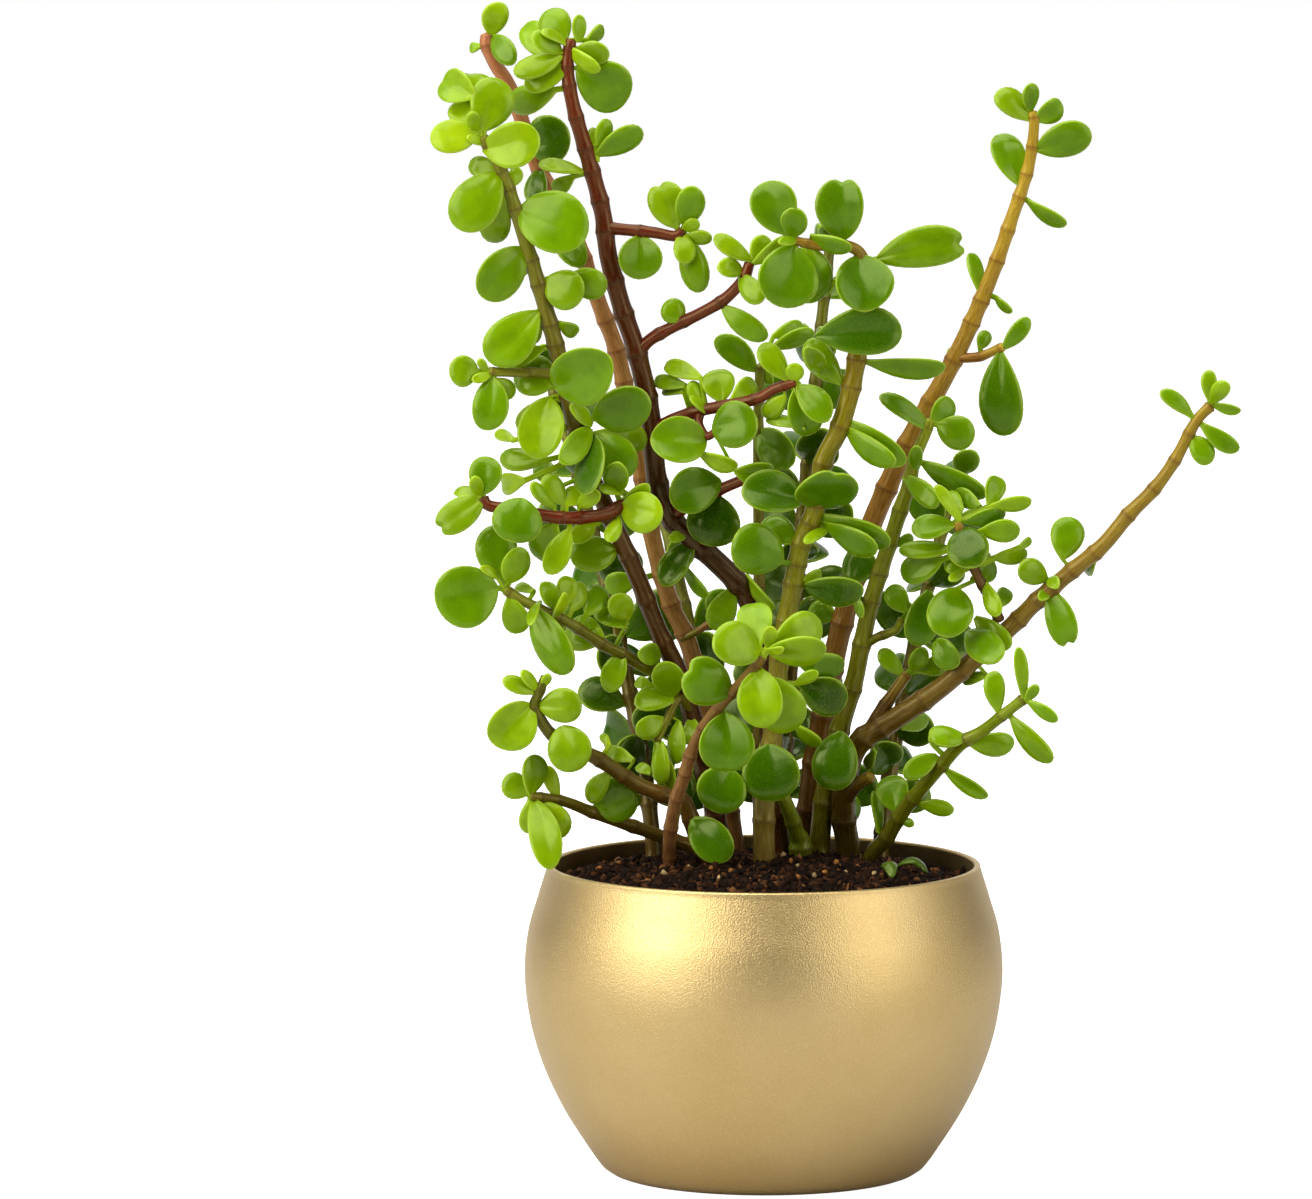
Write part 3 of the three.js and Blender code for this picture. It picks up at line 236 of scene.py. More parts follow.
def smooth_route(points, step):
    """A curve through points, about step long at a time, and where on it each new point is, as the
    number of the point before and the share of the way to the next. Between b and c, with a before
    and d after, it is (2b + (c - a)t + (2a - 5b + 4c - d)t^2 + (3b - a - 3c + d)t^3) / 2."""
    last = len(points) - 1
    lengths = np.linalg.norm(np.diff(points, axis=0), axis=1)
    counts = np.maximum(np.ceil(lengths / step).astype(int), 1)
    at = np.concatenate([i + np.arange(n) / n for i, n in enumerate(counts)] + [[last]])
    before = np.minimum(at.astype(int), last - 1)
    t = (at - before)[:, None]
    a, b = points[np.maximum(before - 1, 0)], points[before]
    c, d = points[before + 1], points[np.minimum(before + 2, last)]
    curve = (2 * b + (c - a) * t + (2 * a - 5 * b + 4 * c - d) * t ** 2
             + (3 * b - a - 3 * c + d) * t ** 3) / 2
    return curve, at


def turned(profile, around):
    """A profile of [radius, height] turned about +Z: ring by ring, radius times cosine and sine."""
    turn = np.arange(around) * 2 * np.pi / around
    radius, height = profile[:, :1], profile[:, 1:]
    return np.stack([radius * np.cos(turn), radius * np.sin(turn), height + 0 * turn], -1)


def skin_faces(rings, around):
    """The faces of a skin closed at both ends: four-cornered ones from ring to ring, numbered ring by
    ring, and a fan to a pole at each end. The poles are the last two points, the first ring's first."""
    j = np.arange(around)
    k = (j + 1) % around
    row = np.arange(rings - 1)[:, None] * around
    fours = np.stack([row + j, row + k, row + around + k, row + around + j], -1).reshape(-1, 4)
    first, last = rings * around, rings * around + 1
    end = (rings - 1) * around
    threes = np.concatenate([np.stack([first + 0 * j, k, j], -1),
                             np.stack([last + 0 * j, end + j, end + k], -1)])
    return fours, threes


def add_piece(name, points, fours, threes, material, marks=None):
    """A smooth mesh piece from points in millimetres. Marks are values kept at its points, by name."""
    mesh = bpy.data.meshes.new(name)
    mesh.from_pydata((points * MM).tolist(), [], fours.tolist() + threes.tolist())
    kinds = {1: ("FLOAT", "value"), 3: ("FLOAT_VECTOR", "vector"), 4: ("FLOAT_COLOR", "color")}
    for mark, values in (marks or {}).items():
        kind, field = kinds[values.shape[1] if values.ndim > 1 else 1]
        kept = mesh.attributes.new(mark, kind, "POINT")
        kept.data.foreach_set(field, values.astype(np.float32).ravel())
    mesh.shade_smooth()
    mesh.materials.append(material)
    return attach(add_object(name, mesh), "root")


def lip_profile():
    """The lip from outside to inside: a quarter round over each edge with a flat between them."""
    middle = MOUTH_RADIUS + WALL / 2 - LIP / 2
    out = LIP / 2 - LIP_ROUND + LIP_ROUND * np.cos(LIP_TURN)
    height = POT_HEIGHT - LIP_ROUND + LIP_ROUND * np.sin(LIP_TURN)
    outer, inner = np.stack([middle + out, height], -1), np.stack([middle - out, height], -1)
    return np.concatenate([outer, inner[::-1]])


def pot_points():
    """The whole profile, its sides smoothed, turned about the pot's axis between two closed poles."""
    profile = np.concatenate([np.array(OUTER_SIDE), lip_profile(), np.array(INNER_SIDE)])
    side, _ = smooth_route(profile, POT_STEP)
    rings = turned(side, POT_AROUND)
    poles = np.array([[0.0, 0.0, 0.0], [0.0, 0.0, FLOOR]])
    return len(side), np.concatenate([rings.reshape(-1, 3), poles])


def gold_lacquer():
    """Satin gold: softly clouded where the lacquer lay thicker, with a fine grain of orange peel and
    pigment flakes in its roughness and bump, and painted shade that darkens it towards the foot."""
    gold = Finish("gold_lacquer", {"Metallic": 0.9, "Specular IOR Level": 0.5})
    where = gold.place()
    height = gold.node("SeparateXYZ", None, {0: where}, out=2)
    cloud = gold.noise(where, 38.0)
    flakes = gold.noise(where, 3400.0, 2.0)
    peel = gold.noise(where, 1500.0, 2.0)
    tone = gold.mix(gold.step(cloud, 0.3, 0.7), rgb(206, 176, 114), rgb(214, 185, 126))
    tone = gold.mix(gold.step(flakes, 0.45, 0.75) * 0.5, tone, rgb(230, 206, 152))
    # Painted shade: the lowest 12 mm fade to a darker brown gold, as if shaded near the table.
    foot = gold.step(height, 0.012, 0.0)
    tone = gold.mix(foot * 0.25, tone, rgb(160, 126, 70))
    bump = gold.bump(0.5, 0.0002, 0.15 * peel + flakes)
    return gold.finished(tone, 0.31 + 0.1 * peel, bump)


pot_rings, pot_shape = pot_points()
pot = add_piece("pot_bowl", pot_shape, *skin_faces(pot_rings, POT_AROUND), gold_lacquer())
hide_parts("pot")

# The soil: dark peat and bark potting mix, mounded a little towards the middle and pressed loosely
# up to the wall, with crumbs and slivers of bark and a few pale grains on its surface.
SOIL_EDGE = 57.8
SOIL_RISE = 4.0
MOUND = 3                                    # power of the mound's fall towards the wall
SOIL_RADIUS = 43.2                           # a little into the wall
CRUMB_REACH = 41.4                           # radius of the farthest crumb's place
SOIL_RINGS = 46
SOIL_AROUND = 150
SOIL_SKIRT = 8.0                             # depth of the wall of soil that is made
SOIL_FADE = 3.0                              # from the wall to where its lumps are full
CRUMBS = 6000
CRUMB_SIZE = (0.26, 1.1)                     # radius of the smallest and of the largest
CRUMB_STRAY = 0.8                            # how far one may lie from its place
SLIVER_SHARE = 0.22                          # of the crumbs are slivers of bark
STONE_CORNERS = 12                           # of each crumb and grain
GOLDEN_ANGLE = np.pi * (3 - 5 ** 0.5)
# Where pale grains show in the photograph: [x, z]
PALE_GRAINS = [
    [-33, 60.5], [-29, 61.5], [-10.5, 60.5], [-6.5, 60], [-9, 58.6], [6.8, 58.6], [4, 63.2], [6.8, 61],
    [5.5, 62], [12.3, 59.7], [10.2, 59], [14.5, 61.6], [16.5, 59.8], [22, 59.4], [-20, 59.4], [-15, 60.8],
]
PALE_SIZE = 0.68
PALE_LIFT = 0.8                              # of a grain over the mound
chance = np.random.default_rng(11)


def soil_height(radius):
    """Height of the mound: its edge plus its rise times 1 - (radius / mouth radius)^3."""
    return SOIL_EDGE + SOIL_RISE * (1 - (radius / MOUTH_RADIUS) ** MOUND)


def lumps(x, y):
    """Loose unevenness of the surface: a sum of crossed sine waves, each finer and lower than the last."""
    return (0.34 * np.sin(0.33 * x + 1.2) * np.sin(0.29 * y + 0.4) + 0.28 * np.sin(0.71 * x - 0.52 * y)
            + 0.22 * np.sin(1.3 * x + 0.9 * y + 2.0) * np.sin(1.1 * y - 0.6 * x)
            + 0.14 * np.sin(2.3 * x + 1.1) * np.sin(2.1 * y + 0.3 * x))


def soil_points():
    """Rings from the skirt's foot up the wall and in to the middle, each at the mound's height plus
    the lumps, which fade out at the wall."""
    radius = np.concatenate([[SOIL_RADIUS - 2.0, SOIL_RADIUS - 0.4],
                             SOIL_RADIUS * np.sqrt(np.linspace(1, 0.0004, SOIL_RINGS))])
    rings = turned(np.stack([radius, soil_height(radius)], -1), SOIL_AROUND)
    fade = np.clip((SOIL_RADIUS - radius) / SOIL_FADE, 0, 1)
    fade[:3] = 0
    rings[..., 2] += fade[:, None] * lumps(rings[..., 0], rings[..., 1])
    rings[0, :, 2] -= SOIL_SKIRT
    rings[1, :, 2] -= 1.2
    poles = [[0, 0, rings[0, 0, 2]], [0, 0, rings[-1, :, 2].mean()]]
    return len(rings), np.concatenate([rings.reshape(-1, 3), poles])


def crumb_shape():
    """A rough stone of 20 faces: the corners (0, 1, g), (1, g, 0) and (g, 0, 1) with all their signs,
    g being the golden ratio, and a face for each three corners that lie an edge apart."""
    golden = (1 + 5 ** 0.5) / 2
    signs = np.array([[a, b] for a in (-1, 1) for b in (-1, 1)])
    base = np.stack([0 * signs[:, 0], signs[:, 0], golden * signs[:, 1]], -1)
    corners = np.concatenate([np.roll(base, shift, axis=1) for shift in range(3)])
    near = np.linalg.norm(corners[:, None] - corners[None], axis=-1) < 2.1
    numbers = range(STONE_CORNERS)
    faces = [[a, b, c] for a in numbers for b in numbers[a + 1:] for c in numbers[b + 1:]
             if near[a, b] and near[b, c] and near[a, c]]
    outward = [np.linalg.det(corners[face]) > 0 for face in faces]
    faces = [face if out else face[::-1] for face, out in zip(faces, outward)]
    return corners / np.linalg.norm(corners[0]), np.array(faces)


def turns(count):
    """Random turns, evenly over all ways to lie, from unit quaternions (w, x, y, z)."""
    drawn = chance.normal(size=(4, count))
    w, x, y, z = drawn / np.linalg.norm(drawn, axis=0)
    return np.stack([
        np.stack([1 - 2 * (y * y + z * z), 2 * (x * y - z * w), 2 * (x * z + y * w)], -1),
        np.stack([2 * (x * y + z * w), 1 - 2 * (x * x + z * z), 2 * (y * z - x * w)], -1),
        np.stack([2 * (x * z - y * w), 2 * (y * z + x * w), 1 - 2 * (x * x + y * y)], -1)], 1)


def scattered(centres, sizes, stretch):
    """A crumb at each centre: the stone's corners pushed in or out, stretched, turned and scaled."""
    corners, faces = crumb_shape()
    count = len(centres)
    rough = corners * (1 + 0.36 * chance.uniform(-1, 1, (count, len(corners), 1)))
    shaped = np.einsum("nij,nkj->nki", turns(count), rough * stretch[:, None])
    points = centres[:, None] + sizes[:, None, None] * shaped
    every = faces[None] + len(corners) * np.arange(count)[:, None, None]
    return points.reshape(-1, 3), every.reshape(-1, 3)


def crumb_places():
    """Places spread evenly over the mound: the nth at radius R sqrt(n / N), a golden angle further on,
    each moved a little at random."""
    n = np.arange(CRUMBS) + 0.5
    radius = CRUMB_REACH * np.sqrt(n / CRUMBS)
    x = radius * np.cos(n * GOLDEN_ANGLE) + chance.uniform(-CRUMB_STRAY, CRUMB_STRAY, CRUMBS)
    y = radius * np.sin(n * GOLDEN_ANGLE) + chance.uniform(-CRUMB_STRAY, CRUMB_STRAY, CRUMBS)
    shrink = np.minimum(1, CRUMB_REACH / np.maximum(np.hypot(x, y), 1))
    x, y = x * shrink, y * shrink
    return np.stack([x, y, soil_height(np.hypot(x, y)) + 0.8 * lumps(x, y) + 0.1], -1)


def met_by_sight(x, z):
    """Where the line of sight through (x, z) of the pot's middle plane first meets the mound."""
    depth = np.linspace(-SOIL_RADIUS, SOIL_RADIUS, 400)
    line = EYE + (np.array([x, 0.0, z]) - EYE) * (1 + depth[:, None] / -EYE[1])
    away = np.hypot(line[:, 0], line[:, 1])
    under = (line[:, 2] < soil_height(np.minimum(away, SOIL_RADIUS))) & (away < SOIL_RADIUS - 1)
    return line[np.argmax(under)] if under.any() else None


def soil_finish():
    """Moist peat: near black to red brown by each crumb's own tone, speckled, rough, with a little
    sheen where it is wet."""
    peat = Finish("peat_and_bark", {"Specular IOR Level": 0.08})
    where = peat.place()
    speck = peat.noise(where, 1500.0, 4.0)
    cloud = peat.noise(where, 170.0)
    tone = peat.mark("tone", "Color")
    tone = peat.mix(1.0, tone, peat.mix(speck, rgb(120, 112, 104), rgb(255, 250, 242)), "MULTIPLY")
    tone = peat.mix(peat.step(cloud, 0.55, 0.7) * 0.35, tone, rgb(22, 13, 9))
    bump = peat.bump(0.7, 0.0004, speck)
    return peat.finished(tone, 0.95 - 0.35 * speck, bump)


def soil_tones(count, colours, shares):
    """One of the colours for each crumb, drawn by its share, lighter or darker at random."""
    drawn = np.array(colours)[chance.choice(len(colours), count, p=shares)]
    drawn[:, :3] *= chance.uniform(0.6, 1.35, (count, 1))
    return drawn


peat = soil_finish()
soil_rings, mound = soil_points()
mound_tone = np.tile(rgb(34, 21, 12), (len(mound), 1))
soil_bed = add_piece("soil_bed", mound, *skin_faces(soil_rings, SOIL_AROUND), peat, {"tone": mound_tone})

sliver = chance.random(CRUMBS) < SLIVER_SHARE
stretch = np.where(sliver[:, None], chance.uniform([1.4, 0.5, 0.2], [2.6, 0.8, 0.4], (CRUMBS, 3)),
                   chance.uniform(0.7, 1.25, (CRUMBS, 3)))
small, large = CRUMB_SIZE
sizes = small + (large - small) * chance.random(CRUMBS) ** 3
crumb_points, crumb_faces = scattered(crumb_places(), sizes, stretch)
CRUMB_COLOURS = [rgb(34, 20, 10), rgb(58, 35, 18), rgb(92, 58, 32), rgb(134, 92, 54)]
crumb_tone = soil_tones(CRUMBS, CRUMB_COLOURS, [0.46, 0.34, 0.15, 0.05])
crumbs = add_piece("soil_crumbs", crumb_points, crumb_faces, crumb_faces[:0], peat,
                   {"tone": np.repeat(crumb_tone, STONE_CORNERS, axis=0)})

grain_places = [met_by_sight(x, z) for x, z in PALE_GRAINS]
grain_places = np.array([place for place in grain_places if place is not None]) + [0, 0, PALE_LIFT]
grain_count = len(grain_places)
grain_points, grain_faces = scattered(grain_places, chance.uniform(0.7, 1.2, grain_count) * PALE_SIZE,
                                      chance.uniform(0.6, 1.3, (grain_count, 3)))
grain_tone = soil_tones(grain_count, [rgb(226, 196, 140), rgb(205, 140, 70)], [0.6, 0.4])
grains = add_piece("soil_pale_grains", grain_points, grain_faces, grain_faces[:0], peat,
                   {"tone": np.repeat(grain_tone, STONE_CORNERS, axis=0)})
for part in (soil_bed, crumbs, grains):
    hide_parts("soil")

# The stems: fleshy branches of rooted cuttings that stand in the soil, brown to maroon and woody at
# the foot and green or tan further up, ringed where pairs of leaves grow or grew.

# Each cutting's shoots, its own stem first: (route, diameters spread along it, leaves). The route's
# places are [x, z, depth]: where a point shows in the upright plane through the pot's axis, and how
# far behind that plane it lies. A leaf is [base x, base z, tip x, tip z, width, depth from base to
# tip, turn of the face in degrees, depth of the base behind its stem where it has any].
CUTTINGS = {
    "stem_front": [(
        [[-18.8, 61.4, 2], [-18.8, 67.6, -2], [-17.6, 74.7, -7], [-16, 79.7, -11], [-14, 86, -14],
         [-10.2, 92.4, -18], [-4.6, 98.7, -22], [-0.2, 103.9, -25]],
        [2.7, 2.9, 2.6, 2.3, 2],
        [[-6.6, 96.6, -15.8, 101.8, 9.8, -4, 0], [-0.8, 105.2, -10.4, 106.8, 8.6, -4, 20],
         [-1, 106, -2.3, 114.2, 7.2, 2, 0], [0.8, 105.2, 12.5, 106, 6.6, -3, 25],
         [1.8, 106.6, 11.5, 110.8, 8, 4, 0], [0.7, 106.2, 1.5, 110.2, 3, -2, 0],
         [0.5, 105.5, 4, 105.8, 1.8, -4, 30], [-1.3, 101.4, 0.2, 89.6, 9.2, -3, 0],
         [1.2, 99.8, 5.6, 88.9, 9.6, 2, 0], [-7.8, 92.7, -7.6, 80.7, 11.2, -2, 0]],
    )],
    "stem_centre": [(
        [[0.1, 62.8, 4], [0.2, 74.7, 4], [1.6, 86.8, 3], [3, 102.1, 1], [5, 114, -1], [7.3, 126.1, -3],
         [10.1, 133.5, -4], [11.9, 143.3, -5], [15.1, 150.1, -6], [17.9, 160.6, -6], [19.5, 172, -6],
         [20, 180, -7], [19, 184.8, -8], [16, 186.4, -9], [11.5, 186.3, -10], [6.3, 187.3, -10]],
        [4.5, 4.2, 4, 3.9, 3.8, 4, 3.6, 2.6, 2.1, 1.9],
        [[-6.5, 81.4, -10.2, 72.7, 10.2, -2, 0, -6], [1, 86.3, 1.8, 74.7, 11.8, -3, 0, -3],
         [7.2, 98.3, 16.6, 94.6, 8, 0, 10], [6.6, 98.6, 10.9, 101, 2.6, -3, 10],
         [7, 102.8, 16.2, 101.8, 5.2, 1, 25], [6.6, 90, 11.2, 86, 2.6, 2, 50],
         [8, 118.3, 20, 117.5, 6.2, -3, 25], [7.8, 119.5, 11.5, 121, 2.6, 2, 20],
         [10.5, 134, 14.6, 142.2, 12.8, -2, 10], [7.8, 135.4, -4.6, 137.4, 8.6, -3, 20],
         [11.5, 132.5, 25.3, 126.6, 5, -2, 35], [12.3, 130.8, 22.8, 125.8, 4.4, -5, 45],
         [12.5, 129.5, 8, 126.8, 2.2, -5, 30], [6.3, 126.8, 0, 131.6, 6, 4, 10],
         [3.7, 123, -5.8, 128.6, 10.4, -2, 0, -3], [16.5, 151.3, 28.3, 142.8, 5.6, -2, 15],
         [16.3, 150, 26.3, 143, 4.6, -5, 30], [10.2, 168.3, 27.5, 169.2, 9.8, -1, 0, -4],
         [20.3, 163.3, 36.2, 162.2, 4.8, 0, 20], [15.4, 158.8, 8.6, 167.6, 6, 1, 10],
         [11, 161.4, 8, 166.7, 4, -2, 10], [5.8, 186.5, 3, 174.1, 12.4, -4, 0],
         [8.2, 186.5, 9.4, 174.7, 9, 0, 0], [13.9, 179.3, 11.4, 176.6, 3, 1, 10],
         [4, 188.8, -0.3, 199, 9.4, 1, 0], [6, 188.3, 6, 194.1, 5.6, -2, 0],
         [9.2, 188.4, 17.5, 186, 3, -3, 45], [15.8, 187.6, 15.4, 200.2, 9.8, 0, 0],
         [18.9, 184.4, 20, 173.2, 11.8, -4, 0], [22.4, 183.7, 40.4, 187, 8.2, -1, 10],
         [6.2, 187.3, 2.7, 187, 2, -4, 20]],
    )],
    "stem_leader": [(
        [[2.8, 65, 16], [1.2, 92, 14], [-0.4, 107, 11], [-4, 117, 10], [-12, 125.5, 8], [-18.6, 132, 7],
         [-21.4, 139.5, 6], [-22.8, 153, 5], [-25.4, 165, 4], [-28.4, 174, 3], [-31, 184, 2],
         [-32.2, 193, 2], [-35, 203.5, 1], [-38, 214, 0], [-39.2, 222, 0], [-38.5, 227.3, 0]],
        [5, 4.8, 4.6, 4.4, 4.2, 4, 3.8, 3.4, 2.8, 2.2],
        [[-37, 226.8, -36.9, 232.4, 2.9, 0, 20], [-35.3, 227.3, -32, 229.9, 3, 2, 30],
         [-37.2, 225.5, -30.8, 224.2, 4.8, -2, 15], [-38.5, 225.5, -32.6, 221.3, 3.4, -4, 30],
         [-39.8, 227, -43.2, 233.3, 6.8, 3, 0], [-39.3, 226.3, -44.5, 229, 2.1, -2, 40],
         [-42.5, 223.5, -47.8, 230.2, 6, 6, 0], [-40.6, 225, -46.3, 228.5, 4.2, 0, 15],
         [-40.2, 224.2, -49.8, 220.8, 4.8, 2, 25], [-39.2, 222, -46.8, 217.8, 5.6, -4, 10],
         [-41.5, 217.5, -51, 214.5, 6, 6, 10], [-37.3, 221.8, -27.5, 214.8, 10.6, -1, 5],
         [-33.5, 204.5, -24.3, 209.6, 5.6, -1, 20], [-33.2, 206.5, -31.3, 211.2, 3.6, -2, 10],
         [-33.4, 203, -34.3, 210, 2.6, 1, 20], [-36.3, 201, -45, 202.6, 3, 1, 35],
         [-38, 200.3, -42, 197.5, 3.6, 3, 0], [-14, 126.8, -20.3, 118.2, 6, -3, 15],
         [-15.8, 122, -11.2, 116, 2.6, -2, 45], [-6.2, 117.8, -10, 109.5, 6, 1, 0],
         [-3.5, 120.5, 2.3, 113.6, 2.6, -3, 40]],
    ), (
        [[-31.3, 189.9, 2], [-28, 189.6, 1], [-22, 189, 0], [-17.8, 188.3, -1], [-16.3, 189.3, -1]],
        [2.6, 2.4, 2],
        [[-24.8, 188.4, -25, 179.6, 8.9, -2, 0], [-17.5, 190, -21.3, 199, 7.6, 1, 0],
         [-15.8, 190.5, -14.3, 198.6, 6, 0, 10], [-16, 189.7, -13.2, 191.5, 3, -2, 10],
         [-15.3, 188.3, -10.4, 187.8, 3.2, -1, 20], [-16.7, 188.8, -15.5, 182.7, 4.5, -3, 0],
         [-15.3, 187.8, -12.8, 177, 5.8, -1, 10]],
    ), (
        [[-25, 165.3, 4], [-22.5, 167.8, 3], [-18, 170.3, 2], [-12.5, 173, 0], [-8.5, 175.3, -1],
         [-6, 177.5, -2], [-4, 180, -3], [-3, 182.8, -3]],
        [2.6, 2.5, 2.4, 2.2],
        [[-16.3, 171.8, -20, 175, 5.3, 0, 0], [-8.3, 174.2, 0.6, 167.8, 4.6, -2, 20],
         [-2.6, 183.4, -10, 188.4, 3.6, 0, 25], [-4.6, 181.2, -9.5, 182, 4.2, -2, 10],
         [-2.2, 183.3, 0.5, 188.3, 4.6, 1, 10], [-2, 183, 4.5, 188.3, 3.2, 0, 25],
         [-4.7, 180.5, -0.5, 175.6, 4.5, 2, 10]],
    ), (
        [[-22, 149.5, 5], [-18, 151.7, 3], [-12.8, 153.4, 1], [-7.8, 154.4, -1], [-1.4, 155.8, -3],
         [2.2, 157.8, -4], [6.2, 159, -5]],
        [2.8, 2.6, 2.4, 2.2, 2],
        [[6, 159.3, 6.3, 163, 3.8, -1, 0], [6.8, 158.3, 12.8, 151.2, 6.2, -4, 0],
         [6, 157.5, 9.3, 148.5, 7, 1, 0], [4.3, 156.3, -0.3, 152.3, 4, 2, 10],
         [8.5, 149.9, 0.3, 151.7, 2.6, 3, 30], [-8.5, 155.2, -9.3, 161.7, 6.8, 3, 0],
         [-6.5, 155.5, -2.8, 158.8, 4.4, 5, 0], [-12.3, 154.2, -14.8, 159.3, 3.2, 0, 30],
         [-11.5, 153, -15, 156.3, 2.6, -1, 30], [-12.6, 159.8, -19.8, 162.6, 3.8, 5, 15],
         [-15.6, 158.3, -21.9, 159.4, 3.2, 4, 15], [-16, 157.2, -20.3, 157.3, 2.4, 6, 20],
         [4.6, 159.6, -0.6, 166.8, 5, 1, 10]],
    ), (
        [[-12.8, 153, 1], [-13, 150.8, 0], [-11.5, 148.3, -2], [-9.8, 149.2, -3]],
        [1.8, 1.6],
        [[-11.6, 146.9, -22.8, 147.6, 9.6, -3, 0], [-10.3, 149.6, -1.2, 151, 9.6, -4, 0],
         [-12.8, 145, -5.2, 142.3, 3.8, -1, 25], [-5.9, 141.3, 1.5, 140.6, 4.8, -4, 25]],
    ), (
        [[-18.6, 132, 7], [-15.5, 134.2, 5], [-12.8, 135.4, 4], [-8.8, 137.6, 2], [-3.8, 139.7, 0]],
        [2.6, 2.5, 2.3],
        [[-8.7, 139.3, -18.8, 135.2, 9, -4, -15], [-9, 136.3, -11.5, 126.5, 11, -3, 0],
         [-15.5, 129, -19, 127.4, 2.6, -2, 10]],
    ), (
        [[-20.6, 134.3, 6], [-25, 135, 0], [-28.5, 134.3, -3], [-32, 132.6, -5], [-38.4, 131.9, -7],
         [-44, 132.4, -8], [-50, 133.6, -9], [-54.9, 134.3, -9], [-56.2, 135.8, -9]],
        [2.8, 2.7, 2.6, 2.2],
        [[-29.5, 137.4, -29, 143.2, 5.4, -5, 0], [-27.2, 136.6, -33, 137.8, 2, -5, 50],
         [-27.8, 135.5, -23, 138.7, 3.5, -3, 20], [-28.6, 134, -20.2, 132.4, 8.4, -6, 0],
         [-29, 131.7, -31, 127, 3.4, -4, 10], [-48.2, 135.8, -50.8, 127.1, 10.2, -3, 0, -3],
         [-56.3, 135.9, -65.3, 129.4, 6.6, -2, 15], [-56.2, 136.6, -55.5, 144.3, 6.8, 1, 0],
         [-56.6, 136.8, -58, 140.3, 2.8, -3, 0], [-56.5, 136.2, -62, 137, 2.4, 2, 40],
         [-41.8, 134, -46.6, 139, 3, -2, 20], [-40.2, 134.8, -43.8, 140.5, 4.5, 0, 20],
         [-39.5, 134.6, -36.3, 137.6, 4.6, 3, 0], [-37, 134.3, -34.2, 136.8, 3.6, 5, 0],
         [-41.5, 130.8, -45.4, 123.8, 6.4, 4, 0], [-39, 129.5, -43.3, 121, 5.2, 1, 10]],
    )],
    "stem_left": [(
        [[-8.4, 65, 18], [-12.2, 82.7, 15], [-16.4, 98.9, 11], [-21, 109, 8], [-26.1, 121.9, 4],
         [-31.4, 133.6, 2], [-36.2, 144.3, 0], [-39.8, 159.4, -3], [-42.8, 171, -4], [-46, 182, -5],
         [-49.8, 194.5, -6], [-52, 200.5, -7], [-56, 208, -8]],
        [4.2, 4, 3.8, 3.7, 3.6, 3.2, 2.6, 2.2],
        [[-57, 209, -66.5, 207.3, 7, -1, 10], [-57.5, 210, -61.5, 214.8, 5.6, 1, 0],
         [-57.2, 209.5, -58.5, 213, 3, -3, 0], [-55.8, 209.3, -53.3, 219.8, 9, 2, 0],
         [-56, 213, -58.8, 220.3, 6, 5, 0], [-57.5, 216, -63, 218.8, 7, 7, 0],
         [-56, 205.5, -44.6, 207.8, 9.4, -4, 0], [-56.3, 206.8, -59.3, 208, 2, -2, 20],
         [-53, 200.8, -61.3, 189.8, 10, -2, 0], [-52.3, 200.2, -58.8, 202.8, 4.4, 3, 10],
         [-51, 198, -49, 202, 3, 2, 10], [-52.3, 196.8, -54.3, 186.8, 6.4, 3, 0],
         [-48.7, 193.8, -35.5, 187.8, 12.6, -4, 0], [-48.2, 186, -56.3, 176, 9, -2, 0],
         [-45, 173.3, -55, 163.2, 9.6, -2, 0], [-43.4, 179.8, -36.6, 175.2, 8.2, -3, 0],
         [-38.5, 180.6, -31.6, 177.2, 6.4, 0, 0], [-46.5, 183.5, -49.3, 180.8, 3, 4, 10],
         [-44.8, 172, -48, 167.3, 5, 4, 0], [-44, 165.8, -51.5, 162.8, 4.4, 3, 10],
         [-41, 171, -37.3, 168.8, 3.2, 3, 0], [-41.8, 158.3, -30.6, 164.8, 11.8, -4, 0],
         [-42.8, 158, -49.3, 162, 8.6, -1, 10], [-42.9, 156, -45.8, 143.7, 9.4, -5, 0],
         [-44, 155, -49, 149.5, 5, 2, 0], [-42, 155.5, -37, 153.6, 4.5, 4, 10],
         [-34.8, 149.8, -40.8, 143.6, 5.6, -2, 0], [-33.8, 148.3, -34.8, 137.3, 8, -4, 0],
         [-33.5, 148.8, -26.5, 140.3, 8.4, -2, 10], [-34.5, 150.5, -38.8, 154.8, 2.6, -3, 50],
         [-34, 151.8, -22.8, 156, 9.3, -3, 0], [-31, 149.5, -24.3, 147, 5.5, 5, 0],
         [-43.5, 143.5, -52.8, 144, 5, 4, 10], [-50, 147.5, -53.7, 149, 2.5, 5, 10],
         [-41, 138, -45.5, 142.5, 4.5, 8, 0], [-47.5, 139.5, -52.3, 138.5, 4.6, 8, 0],
         [-29.5, 125.3, -38.8, 124, 7.5, -2, 10], [-34, 130.5, -38.5, 127.5, 4, 2, 20]],
    ), (
        [[-40, 160.5, -3], [-45, 161, -4], [-49, 161, -5], [-54.8, 161.2, -6]],
        [2.2, 2, 1.8],
        [[-57.2, 161.3, -62.9, 161.8, 6.4, -1, 0], [-55.5, 161.6, -57, 163.8, 1.8, -1, 0],
         [-54.8, 160.6, -58.4, 159.4, 2, -2, 20], [-54.2, 160, -55.6, 149.4, 7.4, -2, 0],
         [-53.8, 159.6, -50, 156.2, 4, 2, 0]],
    ), (
        [[-17, 100.5, 11], [-22.9, 101.5, 7], [-28.4, 104.5, 3], [-32.6, 106.6, 1], [-39, 110.8, -2],
         [-46.8, 114.5, -5], [-51.8, 117.5, -6]],
        [2.8, 2.6, 2.4, 2.2, 2],
        [[-53.2, 117.8, -65.9, 115.4, 12.6, -2, 0], [-52.3, 119.5, -54.2, 130.5, 8.6, 2, 0],
         [-51, 119, -48.5, 126.3, 5.6, 0, 20], [-53.2, 119.8, -56.8, 122, 2, -2, 20],
